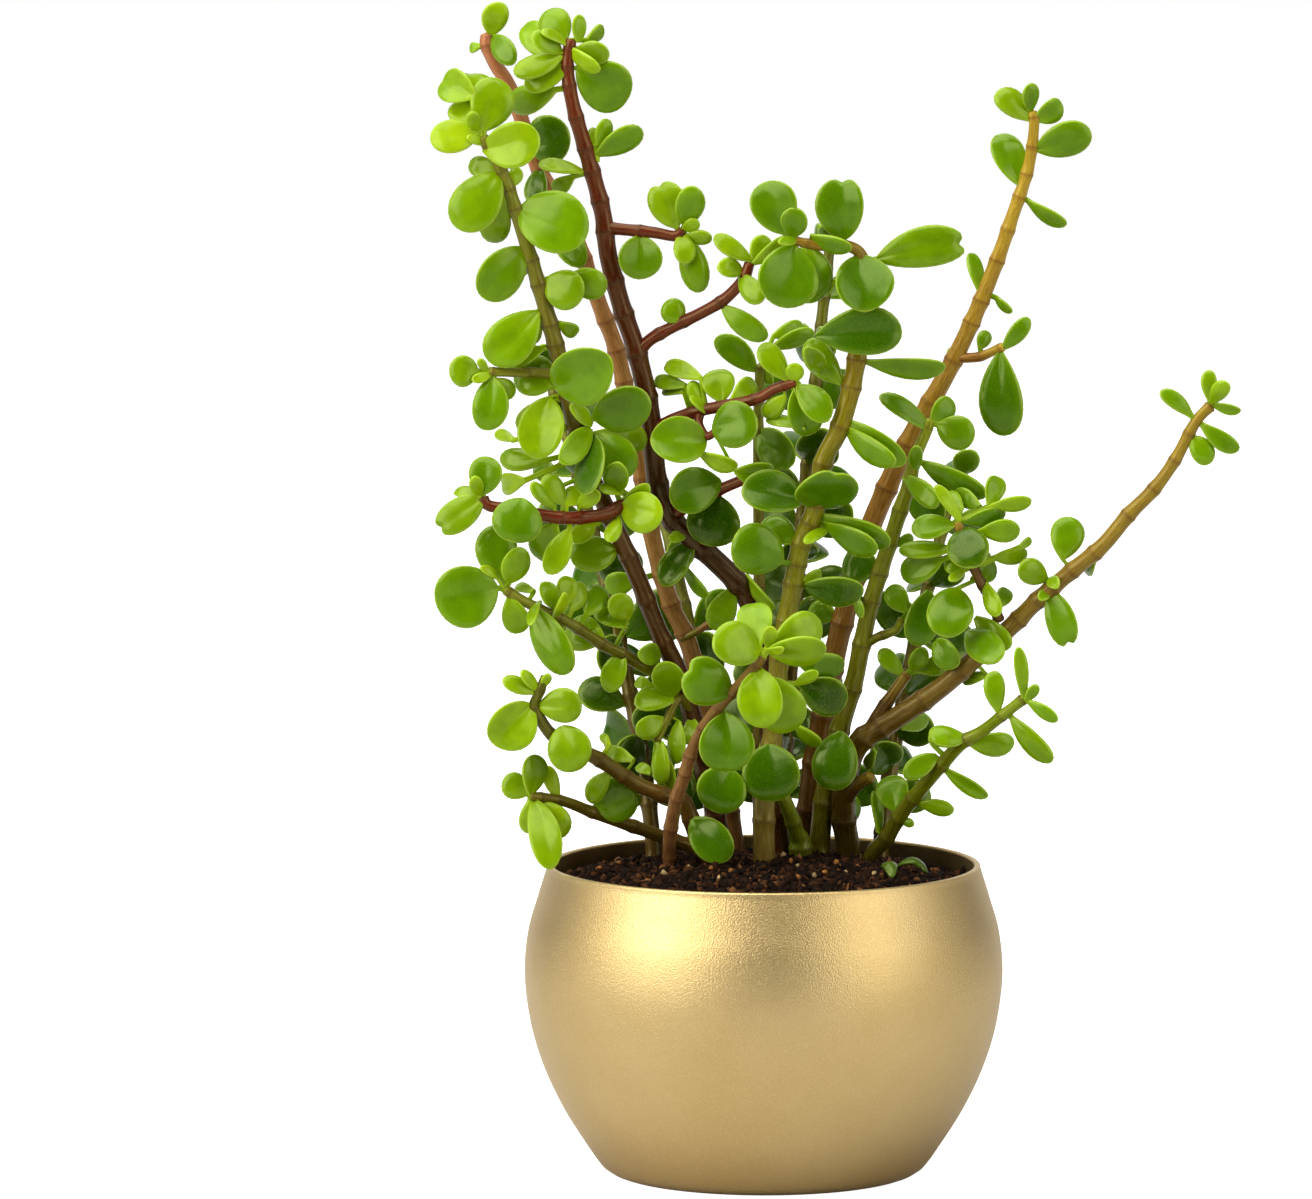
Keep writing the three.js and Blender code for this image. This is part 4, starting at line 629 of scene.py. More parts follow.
         [-51, 116, -48.8, 108.7, 5.5, 1, 10], [-46, 113.5, -39, 100.6, 7.6, -5, 10],
         [-44.9, 114.9, -46.6, 110.2, 2.2, -8, 30], [-39.5, 110.8, -44.5, 110, 4.5, 2, 20],
         [-32, 107.5, -39.8, 108.3, 7.6, -3, 0], [-28.3, 104.7, -31.2, 96.8, 5, -2, 10],
         [-42, 114, -44.5, 119, 4, -2, 10], [-40, 114, -39.5, 120.3, 4.6, 1, 10],
         [-38.5, 113.3, -36.5, 119, 4, 3, 10], [-42.3, 111.8, -39.8, 117, 2, -5, 30],
         [-35.5, 112.5, -32.5, 118, 5.5, 4, 0], [-46, 117, -49.6, 118.2, 2.2, 6, 20],
         [-27, 112, -30.5, 116.5, 5.4, 0, 0], [-27.2, 110, -34, 113.3, 4, 2, 20],
         [-21, 104, -25.3, 105, 4.6, -2, 0]],
    ), (
        [[-14.5, 93, 12], [-17, 95.5, 9], [-19.5, 91, 7], [-21.5, 87, 6]],
        [2, 1.8, 1.6],
        [[-18, 96.2, -20.5, 103.4, 6.6, -1, 0], [-17.5, 95.8, -26, 94.4, 5.4, -2, 15],
         [-22.8, 98.3, -25.8, 98.7, 2.6, 2, 10], [-20.3, 91.5, -25.6, 88.7, 4.8, -1, 0],
         [-17, 91, -17.6, 82.3, 4.2, -1, 25], [-14.5, 91.5, -14.2, 86.3, 3.4, 0, 20],
         [-20.5, 86.8, -20.5, 78.2, 4, -1, 20], [-18.6, 82.2, -18.8, 77.2, 2.8, 1, 10],
         [-22.3, 80.3, -25.4, 82, 2.4, 3, 20]],
    )],
    "stem_low_left": [(
        [[-11, 61.4, 5], [-13.4, 67.6, 3], [-16, 74.7, 1], [-19.2, 75.8, 0], [-24.8, 77.9, -2],
         [-29.8, 81.1, -4], [-33.4, 83.5, -5], [-38.5, 86, -6], [-42.6, 88.4, -8], [-45, 91.8, -9],
         [-46, 94.1, -9], [-44.9, 97, -10], [-43.8, 100, -10]],
        [3.6, 3.4, 3.2, 3, 2.6, 2.2, 1.8],
        [[-46.6, 94.3, -54.6, 86.6, 9.4, -2, 0], [-45, 94, -36.4, 93.8, 7, -3, 10],
         [-40.6, 90, -37.4, 80.9, 9, -2, 0, -2], [-46, 96.8, -52.4, 99.4, 3.4, -1, 20],
         [-45.3, 97.5, -48.6, 101.2, 2.6, -2, 20], [-44.3, 98.3, -43, 100.6, 2, -1, 20],
         [-26, 83, -31.6, 84.8, 3.6, 4, 10], [-31, 86, -32.5, 88.4, 1.8, 4, 10],
         [-31, 80.5, -35, 74.6, 4.4, 3, 10], [-14.3, 71.2, -7, 62.9, 8, -3, 0, -3]],
    )],
    "stem_lowest_left": [(
        [[-12, 63.5, 12], [-20.6, 67.7, 8], [-28.4, 70.5, 4], [-34.4, 72.6, 1], [-40.4, 74.9, -4],
         [-46.8, 75.8, -8]],
        [3, 2.8, 2.6, 2.3, 2],
        [[-33.8, 74.2, -25.8, 76.3, 9.6, -3, 0], [-47, 76.2, -45.6, 84.3, 5, 1, 40],
         [-47.2, 76.3, -51.8, 79.2, 5.4, -2, 10], [-41.3, 75.6, -43.6, 82, 3.2, 0, 10],
         [-46, 75, -42.6, 61, 6.5, -7, 10], [-44.5, 74.5, -39.9, 67.6, 6.2, -1, 10],
         [-46.8, 75, -47.4, 68, 3.2, -1, 10]],
    )],
    "stem_tan": [(
        [[-5.8, 65.6, 26], [-8.8, 82.7, 26], [-14.6, 105.2, 25], [-18.8, 115, 24], [-22.4, 128.4, 23],
         [-24.8, 143.3, 22], [-27.2, 155.4, 21], [-29.6, 166, 20], [-33, 175, 18], [-37, 186.5, 16],
         [-41, 195, 15], [-45.5, 203, 14], [-48.5, 212, 13], [-51, 218.5, 12], [-53.5, 222.5, 12],
         [-55.2, 226.2, 12], [-55.3, 228.3, 12]],
        [4, 3.8, 3.6, 3.4, 3.2, 3, 2.4],
        [[-54.5, 228.4, -52.2, 234.8, 5.4, -1, 0], [-54, 228, -49.6, 222.8, 4.8, -1, 10],
         [-56.6, 226, -58.6, 225.4, 2.2, 1, 20], [-46.8, 206.5, -38.7, 208.8, 10, -3, 0],
         [-44.5, 202, -45.6, 194.8, 4.8, -1, 0], [-41, 190, -36, 182.6, 6, 0, 0],
         [-25.5, 119.5, -31.8, 118.2, 5, 2, 0]],
    ), (
        [[-16.5, 107.5, 24], [-13, 109.3, 22], [-10.5, 111, 21]],
        [1.6, 1.4],
        [[-10.3, 111.5, -7.5, 117.5, 5.5, 0, 0]],
    )],
    "stem_thin": [(
        [[-1, 66, 30], [-1, 90, 28], [-1, 120, 24], [-1.2, 150, 18], [-0.8, 162.5, 16]],
        [2.6, 2.5, 2.4, 2.2, 2],
        [[-1.8, 161.5, -9.8, 168, 5.4, 0, 10], [1.5, 166, 10, 169.2, 3.8, 1, 20],
         [1.8, 168.3, 7.6, 170.8, 3.4, 3, 10], [0.8, 162, 1.3, 158.5, 2, 1, 10],
         [-1.2, 149.3, 5.8, 142.7, 7.6, -3, 15]],
    )],
    "stem_stub": [(
        [[7.4, 65.4, 14], [6.4, 69, 12], [4.8, 73.7, 9], [3.8, 75.7, 8]],
        [4.6, 3.2, 3, 2.8],
        [],
    )],
    "stem_green": [(
        [[11.2, 65.6, 18], [12.6, 78, 16], [15.2, 89.4, 14], [18, 98.7, 12], [19.4, 105.5, 11],
         [21.2, 114, 10], [23.2, 121.1, 9], [25.2, 127.1, 8], [27.6, 134.6, 7], [28.8, 138, 7],
         [30.2, 144, 6], [32.2, 148.8, 6], [33, 151.5, 6]],
        [4.4, 4.2, 3.8, 3.6, 3.4, 3.2, 3, 2.4, 2],
        [[15.5, 88.9, 13.5, 77, 9.4, -3, 0, -8], [14, 74.3, 19.3, 71.6, 6.4, 2, 10],
         [22.3, 121, 16.2, 124.3, 7.6, 3, 0], [26.5, 126.5, 29.8, 128.2, 2.4, 1, 20],
         [18.4, 116, 19.6, 111.8, 2, -4, 20], [28, 140.3, 34.7, 134.5, 4.2, -3, 20],
         [31.6, 143, 44.5, 136.3, 5, -2, 15], [30.3, 141.3, 30.3, 146.5, 3, -4, 10],
         [32.6, 149.8, 22.9, 156.4, 3.9, -1, 30], [33.5, 151.2, 37.4, 155.8, 5, 2, 10],
         [34.6, 150.6, 41.8, 147.4, 7, -1, 0]],
    ), (
        [[19.6, 105.8, 11], [22.5, 107.8, 9], [26.3, 109.3, 8], [27.6, 111.5, 7]],
        [1.9, 1.8, 1.6],
        [[33, 117.3, 30.2, 106.2, 7, -2, 0], [28.6, 113, 25, 118.2, 4.8, 2, 0]],
    )],
    "stem_right": [(
        [[8.4, 65.6, 26], [10.2, 82.7, 25], [12.4, 94.9, 24], [15, 108, 23], [19.6, 125.1, 21],
         [23.8, 136.2, 19], [29.4, 148.3, 18], [36.5, 161, 17], [41.3, 171, 16], [45.8, 182, 15],
         [49.3, 192, 14], [52.5, 202, 13], [53.6, 210.5, 12], [53.2, 213, 12]],
        [4.9, 4.7, 4.5, 4.3, 3.6, 3, 2.4, 1.8],
        [[50.8, 198.5, 46.5, 208.3, 6.6, 0, 10], [54, 205.5, 65, 209, 7.2, -2, 10],
         [52.3, 195.5, 60.2, 190.5, 3, -1, 35], [52.6, 211.5, 46, 217, 5.6, 0, 15],
         [52.8, 213.3, 52.8, 218.9, 3.6, 0, 20], [53.8, 211.5, 59, 215, 5, 1, 15],
         [43, 177, 41.3, 184.7, 3.4, 1, 20], [46.3, 176, 49.4, 173, 2, -1, 20],
         [38.3, 163, 37, 166, 2.4, 2, 10], [13.5, 111.5, 9.3, 114.3, 5, 1, 0]],
    ), (
        [[37.5, 164, 17], [41, 164, 15], [43.5, 164.4, 14], [47.6, 166.2, 12]],
        [2.2, 2, 1.8],
        [[47.8, 166, 52.8, 172, 3.6, 0, 10], [43, 166, 44.5, 169.4, 3, 1, 10],
         [47, 165.4, 48, 148.3, 9, -2, 0]],
    )],
    "stem_long": [(
        [[17, 64.4, 17], [16, 72, 15], [16.5, 80, 12.5], [19.2, 86.7, 10], [26.8, 91.8, 8], [34.5, 97, 6],
         [41.1, 102.6, 4], [49.8, 110.4, 2], [54.9, 115.5, 0], [61.5, 121.2, -2], [67.6, 126.3, -4],
         [72.8, 132.5, -5], [77.8, 137.6, -6], [81.9, 143.3, -7], [86, 151, -8], [89, 154.3, -8]],
        [5, 5, 4.8, 4.4, 4, 3.6, 3.4, 3.2, 2.8, 2.4, 2.2],
        [[44.6, 100.3, 39.8, 98.8, 2.4, 4, 20], [27.3, 89.8, 32.9, 91.6, 3, 5, 20],
         [22.3, 85, 20.5, 81.6, 2.4, 4, 20], [42.3, 111.9, 49.4, 105.8, 5, -4, 10],
         [40.8, 109, 47, 104.6, 7, -1, 0], [34.5, 107.3, 38.9, 102, 5.6, -3, 15],
         [56.5, 119.6, 50.9, 122.2, 5.4, -3, 0], [56.8, 117, 55, 115.4, 2.4, -3, 0],
         [57.2, 119.5, 58.8, 117.8, 2.8, -4, 0], [57.4, 117.2, 61.2, 105.9, 6.2, -2, 10],
         [59.7, 123.6, 61.4, 132.1, 6.8, 2, 10], [66.5, 124.4, 64.4, 120.8, 4, 3, 20],
         [85.3, 152.3, 79, 157.4, 3.2, -1, 20], [89, 155.3, 88.7, 161.6, 3.2, 0, 10],
         [89.2, 155, 92.3, 159.3, 3.6, -2, 0], [89.5, 154.8, 95.2, 153.4, 2.2, -1, 20],
         [87.2, 150.8, 94.8, 145.4, 3.8, -1, 10], [85.5, 148.2, 89, 142.7, 4.8, -1, 0]],
    ), (
        [[16, 74, 14], [18.5, 78, 11], [21.5, 79.8, 9]],
        [2.8, 2.8, 2.6],
        [],
    ), (
        [[20.5, 88, 9], [22.8, 92, 9.5], [25.5, 96, 10], [28.6, 100.5, 10]],
        [2.8, 2.8, 2.6, 2.2],
        [[27.8, 100.3, 23.1, 105.4, 3.6, 0, 20], [30.5, 101.2, 36.6, 102.8, 4, 2, 20],
         [29.5, 101.5, 32.2, 105.9, 3.8, -1, 10]],
    ), (
        [[47, 111.3, 2], [45.8, 114.5, 1], [43.5, 118.6, 0], [41.5, 123, -1], [39.6, 128, -2],
         [38.6, 131, -2]],
        [2.2, 2.1, 2, 2, 1.8],
        [[38, 130.5, 29.4, 129.4, 5.2, -1, 20], [37.5, 125.5, 26.9, 125.4, 4, 1, 20],
         [35.5, 123.5, 27.4, 120.4, 6, 3, 0], [40.4, 129.8, 41.3, 121.9, 8.6, -4, 0],
         [40, 131.3, 48.3, 133.2, 4, 1, 20], [43, 129.2, 51.2, 129.6, 4.8, -1, 15],
         [39.2, 131.2, 34.1, 138.5, 2.6, -1, 25], [39.5, 133.5, 36.2, 137, 3.6, 4, 10],
         [43.3, 134, 38, 137, 3.8, 5, 10], [44.8, 134.3, 46.8, 140.2, 4.4, 3, 10],
         [46, 134.5, 53.4, 135.6, 3.4, 1, 10], [40.4, 121.6, 36.4, 124, 5.4, 1, 10],
         [41.5, 119.5, 45.6, 123.6, 5.5, 1, 10], [39.8, 121.3, 37, 119.3, 2, -5, 20],
         [44.3, 118.8, 46.8, 112.6, 3.6, -1, 20], [46.9, 114, 48.8, 117.6, 3.4, 3, 10],
         [38.7, 117.7, 35.8, 107.9, 9.4, -6, 0], [46, 124, 52.7, 124.8, 3.6, 2, 20],
         [51, 126, 53.3, 127.8, 1.8, 2, 10]],
    )],
    "stem_low_right": [(
        [[21.2, 62.4, 12], [24.6, 67.4, 8], [28, 72.9, 4], [31.9, 77.8, 0], [36.5, 83.2, -4],
         [39.9, 86.7, -7], [43.8, 89, -9], [47.6, 92, -12], [51.8, 95.3, -14]],
        [3.4, 3.2, 3, 2.8, 2.4, 2.2],
        [[26.5, 72.8, 25.4, 80, 6.8, 3, 0], [23, 68.6, 22, 77, 2.2, 1, 40],
         [34.7, 84, 28.1, 79.6, 4.4, -1, 10], [40.6, 87.4, 33, 88.6, 4.8, -1, 20],
         [34.5, 85.6, 33.5, 88.6, 2.4, 0, 20], [41.2, 86.5, 50.4, 86.2, 4.8, -2, 20],
         [36.6, 81.2, 45, 75.7, 3.4, -1, 20], [31, 74.6, 38.2, 72.9, 3.4, -1, 20],
         [27.6, 71, 30.2, 70.1, 1.8, -2, 20], [46.9, 93, 46, 101.2, 4.4, 1, 0],
         [49.6, 91.7, 57.8, 82.7, 4.5, -2, 10], [52, 95.6, 50.8, 106, 2.7, -1, 25],
         [52.6, 95.4, 54.8, 98.4, 2.4, -1, 20], [53, 95, 58.9, 91, 2.7, -2, 20]],
    )],
}
# Shoots behind the rest: [foot x, foot y, lean in x, lean in y, height, share of it that is bare]
REAR_SHOOTS = {
    "stem_rear_1": [-22, 22, -22, 24, 98, 0.42],
    "stem_rear_2": [4, 34, 10, 14, 124, 0.62],
    "stem_rear_3": [24, 25, 16, 23, 76, 0.35],
    "stem_rear_4": [-7, 35, -13, 24, 66, 0.3],
}
REAR_GIRTH = [3.4, 3, 2.2]
REAR_SEED = 7
NODE_STEP = 11                               # along a rear shoot, from one pair of leaves to the next
BURIED = 12                                  # length of each stem under the soil's surface
BARK_STEP = 0.5                              # between the skin's rings of points
BARK_AROUND = 14
RING_SWELL = (1.3, 0.1)                      # reach along the stem, and share of the radius
RING_RIDGE = (0.35, 0.06)
RING_DARK = 0.66                             # share of the ring's shade on its ridge
STREAK_DRAW = 0.16                           # of the grain along a stem: streaks are longer than wide
SHOOT_APART = 40.0                           # in the grain, so that no two shoots look alike
RING_SPACING = 11.0                          # between rings where no leaf or scar is seen
RING_CLOSEST = 3.6                           # leaves nearer each other than this share a ring
RING_SHADE = [0.42, 0.22, 0.2]               # of the bark's red, green and blue on a ring
# Where rings and scars show on the barer stems: [x, z]
RINGS = {
    "stem_front": [[-18.8, 63.2], [-17.6, 75.5], [-17.2, 77], [-15.8, 80.5], [-14.6, 84], [-12, 89.6]],
    "stem_centre": [[-0.3, 71], [1.2, 84], [3.2, 104], [5.9, 118.5], [10.3, 134.6], [15.4, 151]],
    "stem_leader": [[-32, 189.3], [-29.5, 179.5], [-28.5, 172.5], [-26, 164.5], [-23.4, 156], [-22, 147]],
    "stem_left": [[-52, 198.8], [-50, 195], [-47.5, 185.5], [-43.8, 180], [-45, 172.5], [-27, 124]],
    "stem_tan": [[-32.8, 171.3], [-36, 183.6], [-28, 159], [-21, 122], [-16, 108]],
    "stem_right": [[41.8, 170.8], [43.8, 175.2], [46.5, 183.3], [48.5, 189.5], [51.3, 196.3],
                   [52, 200.6], [53.5, 209]],
    "stem_long": [[24.2, 89], [32, 95], [40.2, 102.5], [47, 107.6], [55.6, 114.4], [64, 121.4],
                  [72.8, 132.4], [77.8, 137.8], [81, 144], [86, 151.5]],
}
# Bark colours at the foot, halfway and at the top of a cutting's own stem, then of its side shoots
BARK = {
    "stem_front": [(134, 92, 54), (150, 106, 60), (120, 92, 30), (108, 92, 18)],
    "stem_centre": [(132, 108, 48), (126, 128, 6), (142, 110, 22), (112, 104, 12)],
    "stem_leader": [(66, 34, 14), (60, 22, 10), (112, 36, 18), (104, 26, 16)],
    "stem_left": [(58, 24, 12), (84, 44, 14), (132, 140, 30), (106, 106, 14)],
    "stem_low_left": [(90, 60, 26), (98, 72, 22), (88, 98, 12), (98, 90, 16)],
    "stem_lowest_left": [(92, 66, 28), (106, 86, 24), (108, 104, 18), (98, 90, 16)],
    "stem_tan": [(114, 80, 40), (182, 130, 66), (190, 118, 80), (112, 104, 20)],
    "stem_thin": [(110, 86, 40), (132, 118, 40), (114, 124, 24), (112, 104, 20)],
    "stem_stub": [(86, 56, 32), (116, 134, 22), (128, 142, 28), (112, 104, 20)],
    "stem_green": [(102, 94, 20), (122, 124, 8), (138, 152, 12), (108, 110, 12)],
    "stem_right": [(62, 34, 14), (164, 114, 40), (196, 166, 44), (156, 104, 34)],
    "stem_long": [(60, 48, 12), (128, 100, 32), (160, 134, 34), (96, 66, 24)],
    "stem_low_right": [(80, 48, 24), (104, 112, 10), (126, 150, 10), (104, 120, 10)],
    "stem_rear": [(78, 52, 24), (100, 88, 20), (106, 116, 20), (96, 86, 16)],
}


def seen(places):
    """Points that show at [x, z, depth]: the eye, plus the way from it to (x, 0, z) made longer by
    1 + depth / the eye's distance."""
    places = np.asarray(places, float)
    flat = np.stack([places[..., 0], 0 * places[..., 0], places[..., 1]], -1)
    return EYE + (flat - EYE) * (1 + places[..., 2:] / -EYE[1])


def unit(vectors):
    """Vectors made 1 long."""
    return vectors / np.maximum(np.linalg.norm(vectors, axis=-1, keepdims=True), 1e-9)


def spread(values, share):
    """A value from a list that is spread evenly over 0 to 1."""
    return np.interp(share, np.linspace(0, 1, len(values)), values)


def nearest_spot(route, x, z):
    """Where on a route, as it shows, a point (x, z) lies nearest: the place there and its number."""
    start, run = route[:-1], np.diff(route, axis=0)
    share = ((np.array([x, z]) - start[:, :2]) * run[:, :2]).sum(1) / (run[:, :2] ** 2).sum(1)
    share = np.clip(share, 0, 1)
    spots = start + share[:, None] * run
    best = np.argmin(np.hypot(spots[:, 0] - x, spots[:, 1] - z))
    return spots[best], best + share[best]


def with_rings_between(known, length):
    """The known rings' places along a stem, and more of them where two lie far apart."""
    kept = []
    for place in sorted(known):
        if not kept or place - kept[-1] > RING_CLOSEST:
            kept.append(place)
    ends = [0.0] + kept + [length]
    more = [low + (high - low) * (k + 1) / (count + 1)
            for low, high in zip(ends[:-1], ends[1:])
            for count in [int((high - low) / RING_SPACING)] for k in range(count)]
    return np.array(kept + more + [0.4])


def bark_shape(points, girth, rooted, rings_at):
    """A stem's skin along a smooth route. Its section is a circle whose radius follows the girth and,
    at a distance d past a ring, is 0.97 plus RING_SWELL's and RING_RIDGE's share e^-(d / reach)^2 times
    that, so each joint swells to a fine raised line. Gives the rings of points, the two poles, how far
    along each ring is, how near to a joint, and the turns round it."""
    first = 1 if rooted else 0
    route, at = smooth_route(points, BARK_STEP)
    along = unit(np.gradient(route, axis=0))
    across = unit(np.cross([0.0, 1.0, 0.0], along))
    up = np.cross(along, across)
    run = np.concatenate([[0], np.cumsum(np.linalg.norm(np.diff(route, axis=0), axis=1))])
    ring_run = with_rings_between(np.interp(rings_at, at, run).tolist(), run[-1])
    past = run[:, None] - ring_run
    ridge = np.exp(-(past / RING_RIDGE[0]) ** 2).max(1)
    swell = np.exp(-(past / RING_SWELL[0]) ** 2).max(1)
    radius = spread(girth, (at - first) / (len(points) - 1 - first)) / 2
    radius = radius * (0.97 + RING_SWELL[1] * swell + RING_RIDGE[1] * ridge)
    turn = np.arange(BARK_AROUND) * 2 * np.pi / BARK_AROUND
    knots = 1 + 0.012 * np.sin(3 * turn + 0.2 * run[:, None])
    side = across[:, None] * np.cos(turn)[:, None] + up[:, None] * np.sin(turn)[:, None]
    points = route[:, None] + (radius[:, None] * knots)[..., None] * side
    tip = route[-1] + along[-1] * radius[-1] * 0.5
    return points, np.stack([route[0], tip]), run, ridge, turn


def bark_tones(colours, run, ridge, turn):
    """A colour for each point: from the foot's through the middle's to the top's, darker and browner on
    rings and in blotches that follow sine waves along and round the stem."""
    light = np.array([rgb(*colour)[:3] for colour in colours])
    share = run / max(run[-1], 1e-6)
    tone = np.stack([spread(light[:, k], share) for k in range(3)], -1)[:, None]
    brown = tone * RING_SHADE
    wave = np.sin(run[:, None] * 0.21 + 2 * np.sin(turn)) * np.cos(turn + run[:, None] * 0.05)
    share = np.clip(RING_DARK * ridge[:, None] + 0.3 * np.clip(wave, 0, 1), 0, 0.85)[..., None]
    return np.concatenate([tone * (1 - share) + brown * share, np.ones((*share.shape[:2], 1))], -1)


def bark_piece(name, shoots, colours):
    """One mesh of all of a cutting's stems. Each shoot is its points, girth, whether it stands in the
    soil, and the numbers of its points where leaves and rings sit. Its marks are the tone, how near a
    ring is, and the grain: places on the stem's skin, drawn together lengthways."""
    points, fours, threes, tones, grains, ridges = [], [], [], [], [], []
    count = 0
    for number, (route, girth, rooted, rings_at) in enumerate(shoots):
        rings, poles, run, ridge, turn = bark_shape(route, girth, rooted, rings_at)
        four, three = skin_faces(len(rings), BARK_AROUND)
        shades = colours[:3] if rooted else [colours[3], colours[3], colours[2]]
        tone = bark_tones(shades, run, ridge, turn).reshape(-1, 4)
        radius = girth[0] / 2
        along = run[:, None]
        grain = np.stack([radius * np.cos(turn) + 0 * along, radius * np.sin(turn) + 0 * along,
                          STREAK_DRAW * along + 0 * turn + SHOOT_APART * number], -1).reshape(-1, 3)
        points += [rings.reshape(-1, 3), poles]
        tones += [tone, tone[[0, -1]]]
        grains += [grain, grain[[0, -1]]]
        ridges += [np.repeat(ridge, BARK_AROUND), ridge[[0, -1]]]
        fours.append(four + count)
        threes.append(three + count)
        count += len(rings) * BARK_AROUND + 2
    marks = {"tone": tones, "grain": grains, "ridge": ridges}
    marks = {key: np.concatenate(values) for key, values in marks.items()}
    points, fours, threes = (np.concatenate(parts) for parts in (points, fours, threes))
    made = add_piece(name, points, fours, threes, bark, marks)
    return made


def bark_finish():
    """Smooth succulent bark: the stem's own tone drawn out in lengthways streaks, fine pores, a dull
    sheen, and a drier, rougher ring at each joint."""
    skin = Finish("stem_bark", {"Specular IOR Level": 0.5, "Specular Tint": (1.0, 0.88, 0.4, 1.0)})
    grain = skin.mark("grain", "Vector")
    streak = skin.noise(grain, 2.6, 4.0)
    fine = skin.noise(grain, 9.0, 3.0)
    pores = skin.noise(skin.place(), 2200.0, 2.0)
    ridge = skin.mark("ridge")
    tone = skin.mark("tone", "Color")
    streaks = skin.mix(skin.step(streak, 0.3, 0.7), rgb(214, 204, 194), rgb(255, 255, 255))
    tone = skin.mix(1.0, tone, streaks, "MULTIPLY")
    tone = skin.mix(skin.step(fine, 0.55, 0.75) * 0.28, tone, rgb(168, 134, 30))
    tone = skin.mix(skin.step(pores, 0.64, 0.74) * 0.25, tone, rgb(64, 38, 22))
    bump = skin.bump(0.1, 0.0002, 0.4 * fine + 0.3 * pores)
    return skin.finished(tone, 0.2 + 0.1 * streak + 0.25 * ridge, bump)


def rooted_route(points):
    """A stem's points with a straight end down into the soil put before them."""
    return np.concatenate([points[:1] - [0, 0, BURIED], points])


def repeatable(seed):
    """Draws from 0 to 1, the same each time: the last state times 16807, over 2147483647."""
    state = seed
    while True:
        state = state * 16807 % 2147483647
        yield state / 2147483647


def turned_about(vectors, axis, angle):
    """Vectors at right angles to an axis, turned about it: v cos a + (axis x v) sin a."""
    return vectors * np.cos(angle) + np.cross(axis, vectors) * np.sin(angle)


def rear_shoot(x, y, lean_x, lean_y, height, bare, draws):
    """A leaning stem, foot + (lean t^1.4, height t), with crossed pairs of leaves above its bare part:
    each leaf's root, base, tip, width and turn of its face, in the drawn order of the solids."""
    steps = round(height / NODE_STEP)
    t = np.arange(steps + 1)[:, None] / steps
    foot = np.array([x, y, soil_height(np.hypot(x, y))])
    points = foot + np.concatenate([lean_x * t ** 1.4, lean_y * t ** 1.4, height * t], 1)
    leaves = []
    for i in range(int(np.ceil(bare * steps)), steps + 1):
        along = unit(points[i] - points[i - 1])
        size = 1 - 0.5 * (i / steps) ** 2
        for side in (0, np.pi):
            out = unit(np.cross([0.0, 1.0, 0.0], along))
            out = turned_about(out, along, side + i % 2 * np.pi / 2 + 0.6 * next(draws))
            length = (14 + 3 * next(draws)) * size
            reach = unit(out + along * (0.35 + 0.5 * next(draws))) * length
            width = length * (0.6 + 0.15 * next(draws))
            turn = 70 * (next(draws) - 0.5)
            leaves.append((points[i], points[i] + 0.12 * reach, points[i] + reach, width, turn))
    return points, leaves


bark = bark_finish()
for name, shoots in CUTTINGS.items():
    stems = []
    for number, (route, girth, leaves) in enumerate(shoots):
        route = np.array(route, float)
        rooted = number == 0
        shown = [leaf[:2] for leaf in leaves] + (RINGS.get(name, []) if rooted else [])
        rings_at = [nearest_spot(route, x, z)[1] for x, z in shown]
        points = rooted_route(seen(route)) if rooted else seen(route)
        stems.append((points, girth, rooted, np.array(rings_at or [0.0]) + rooted))
    made = bark_piece(name.replace("stem", "bark"), stems, BARK[name])
    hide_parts(name)

draws = repeatable(REAR_SEED)
rear = {name: rear_shoot(*numbers, draws) for name, numbers in REAR_SHOOTS.items()}
for name, (points, _) in rear.items():
    stems = [(rooted_route(points), REAR_GIRTH, True, np.arange(len(points)) + 1.0)]
    made = bark_piece(name.replace("stem", "bark"), stems, BARK["stem_rear"])
    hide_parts(name)

# The leaves: thick, smooth, round to spoon-shaped pads, glossy with a thin pale rim, deep green when
# old and yellow-green when young. Each grows straight from its stem on hardly any stalk.
YOUNG = 3                                    # width up to which a leaf has no solid
LARGE_WIDTH = 6.5
BLADE_THICKNESS = 1.6                        # of a full-grown blade in the solids
THINNEST = 0.8                               # of a solid blade at its tip
ARCH = 0.06                                  # how far a blade's middle rises, as a share of its length
PLUMP = 2.1                                  # thickness of a full-grown leaf
STALK = 0.62                                 # half width of its stalk
SUNK = 0.5                                   # how far the stalk's end lies past the middle of its stem
ROUND_TIP = 0.5                              # power of the outline at the tip
WIDEST = (0.53, 0.61)                        # share of the length at which a leaf is widest
SKEW = 0.07                                  # of a leaf's two halves at most
CUP = (-0.22, 0.3)                           # rise of its rim, as a share of its half width
FOLD = 0.26                                  # of its halves along the middle line at most
CREASE = 0.2                                 # depth of the crease that runs up from the stalk
DENT = 0.09                                  # depth of a dented tip, as a share of the length
MATCH = 0.03                                 # how near a solid's corner has to be to count as the same
MATCHED = 0.24                               # share of a blade's corners that has to be the same
# A solid blade's half widths as shares of its greatest, at shares of the way from base to tip
LARGE_BLADE = np.array([[0.3, 0.8], [0.7, 0.98], [1, 0.44]])
SMALL_BLADE = np.array([[0.55, 1], [1, 0.5]])
BENDS = np.array(sorted(
    [[move, turn, size] for size in (1, 0.88, 0.75, 0.6) for turn in (0, 15, -15, 35, -35)
     for move in (0, -2, 2, -4, 4, -7, 7, -11, 11)],
    key=lambda bend: abs(bend[0]) / 2 + abs(bend[1]) / 12 + 25 * (1 - bend[2])))
# Leaves with a dent at the tip, by where the tip shows: [x, z]
DENTED = [[14.6, 142.2], [15.4, 200.2], [40.4, 187], [-21.3, 199], [-65.3, 129.4], [61.2, 106],
          [-15.8, 101.8]]
DENT_REACH = 0.8
ROLL = 11                                    # degrees by which a face may turn from its solid's
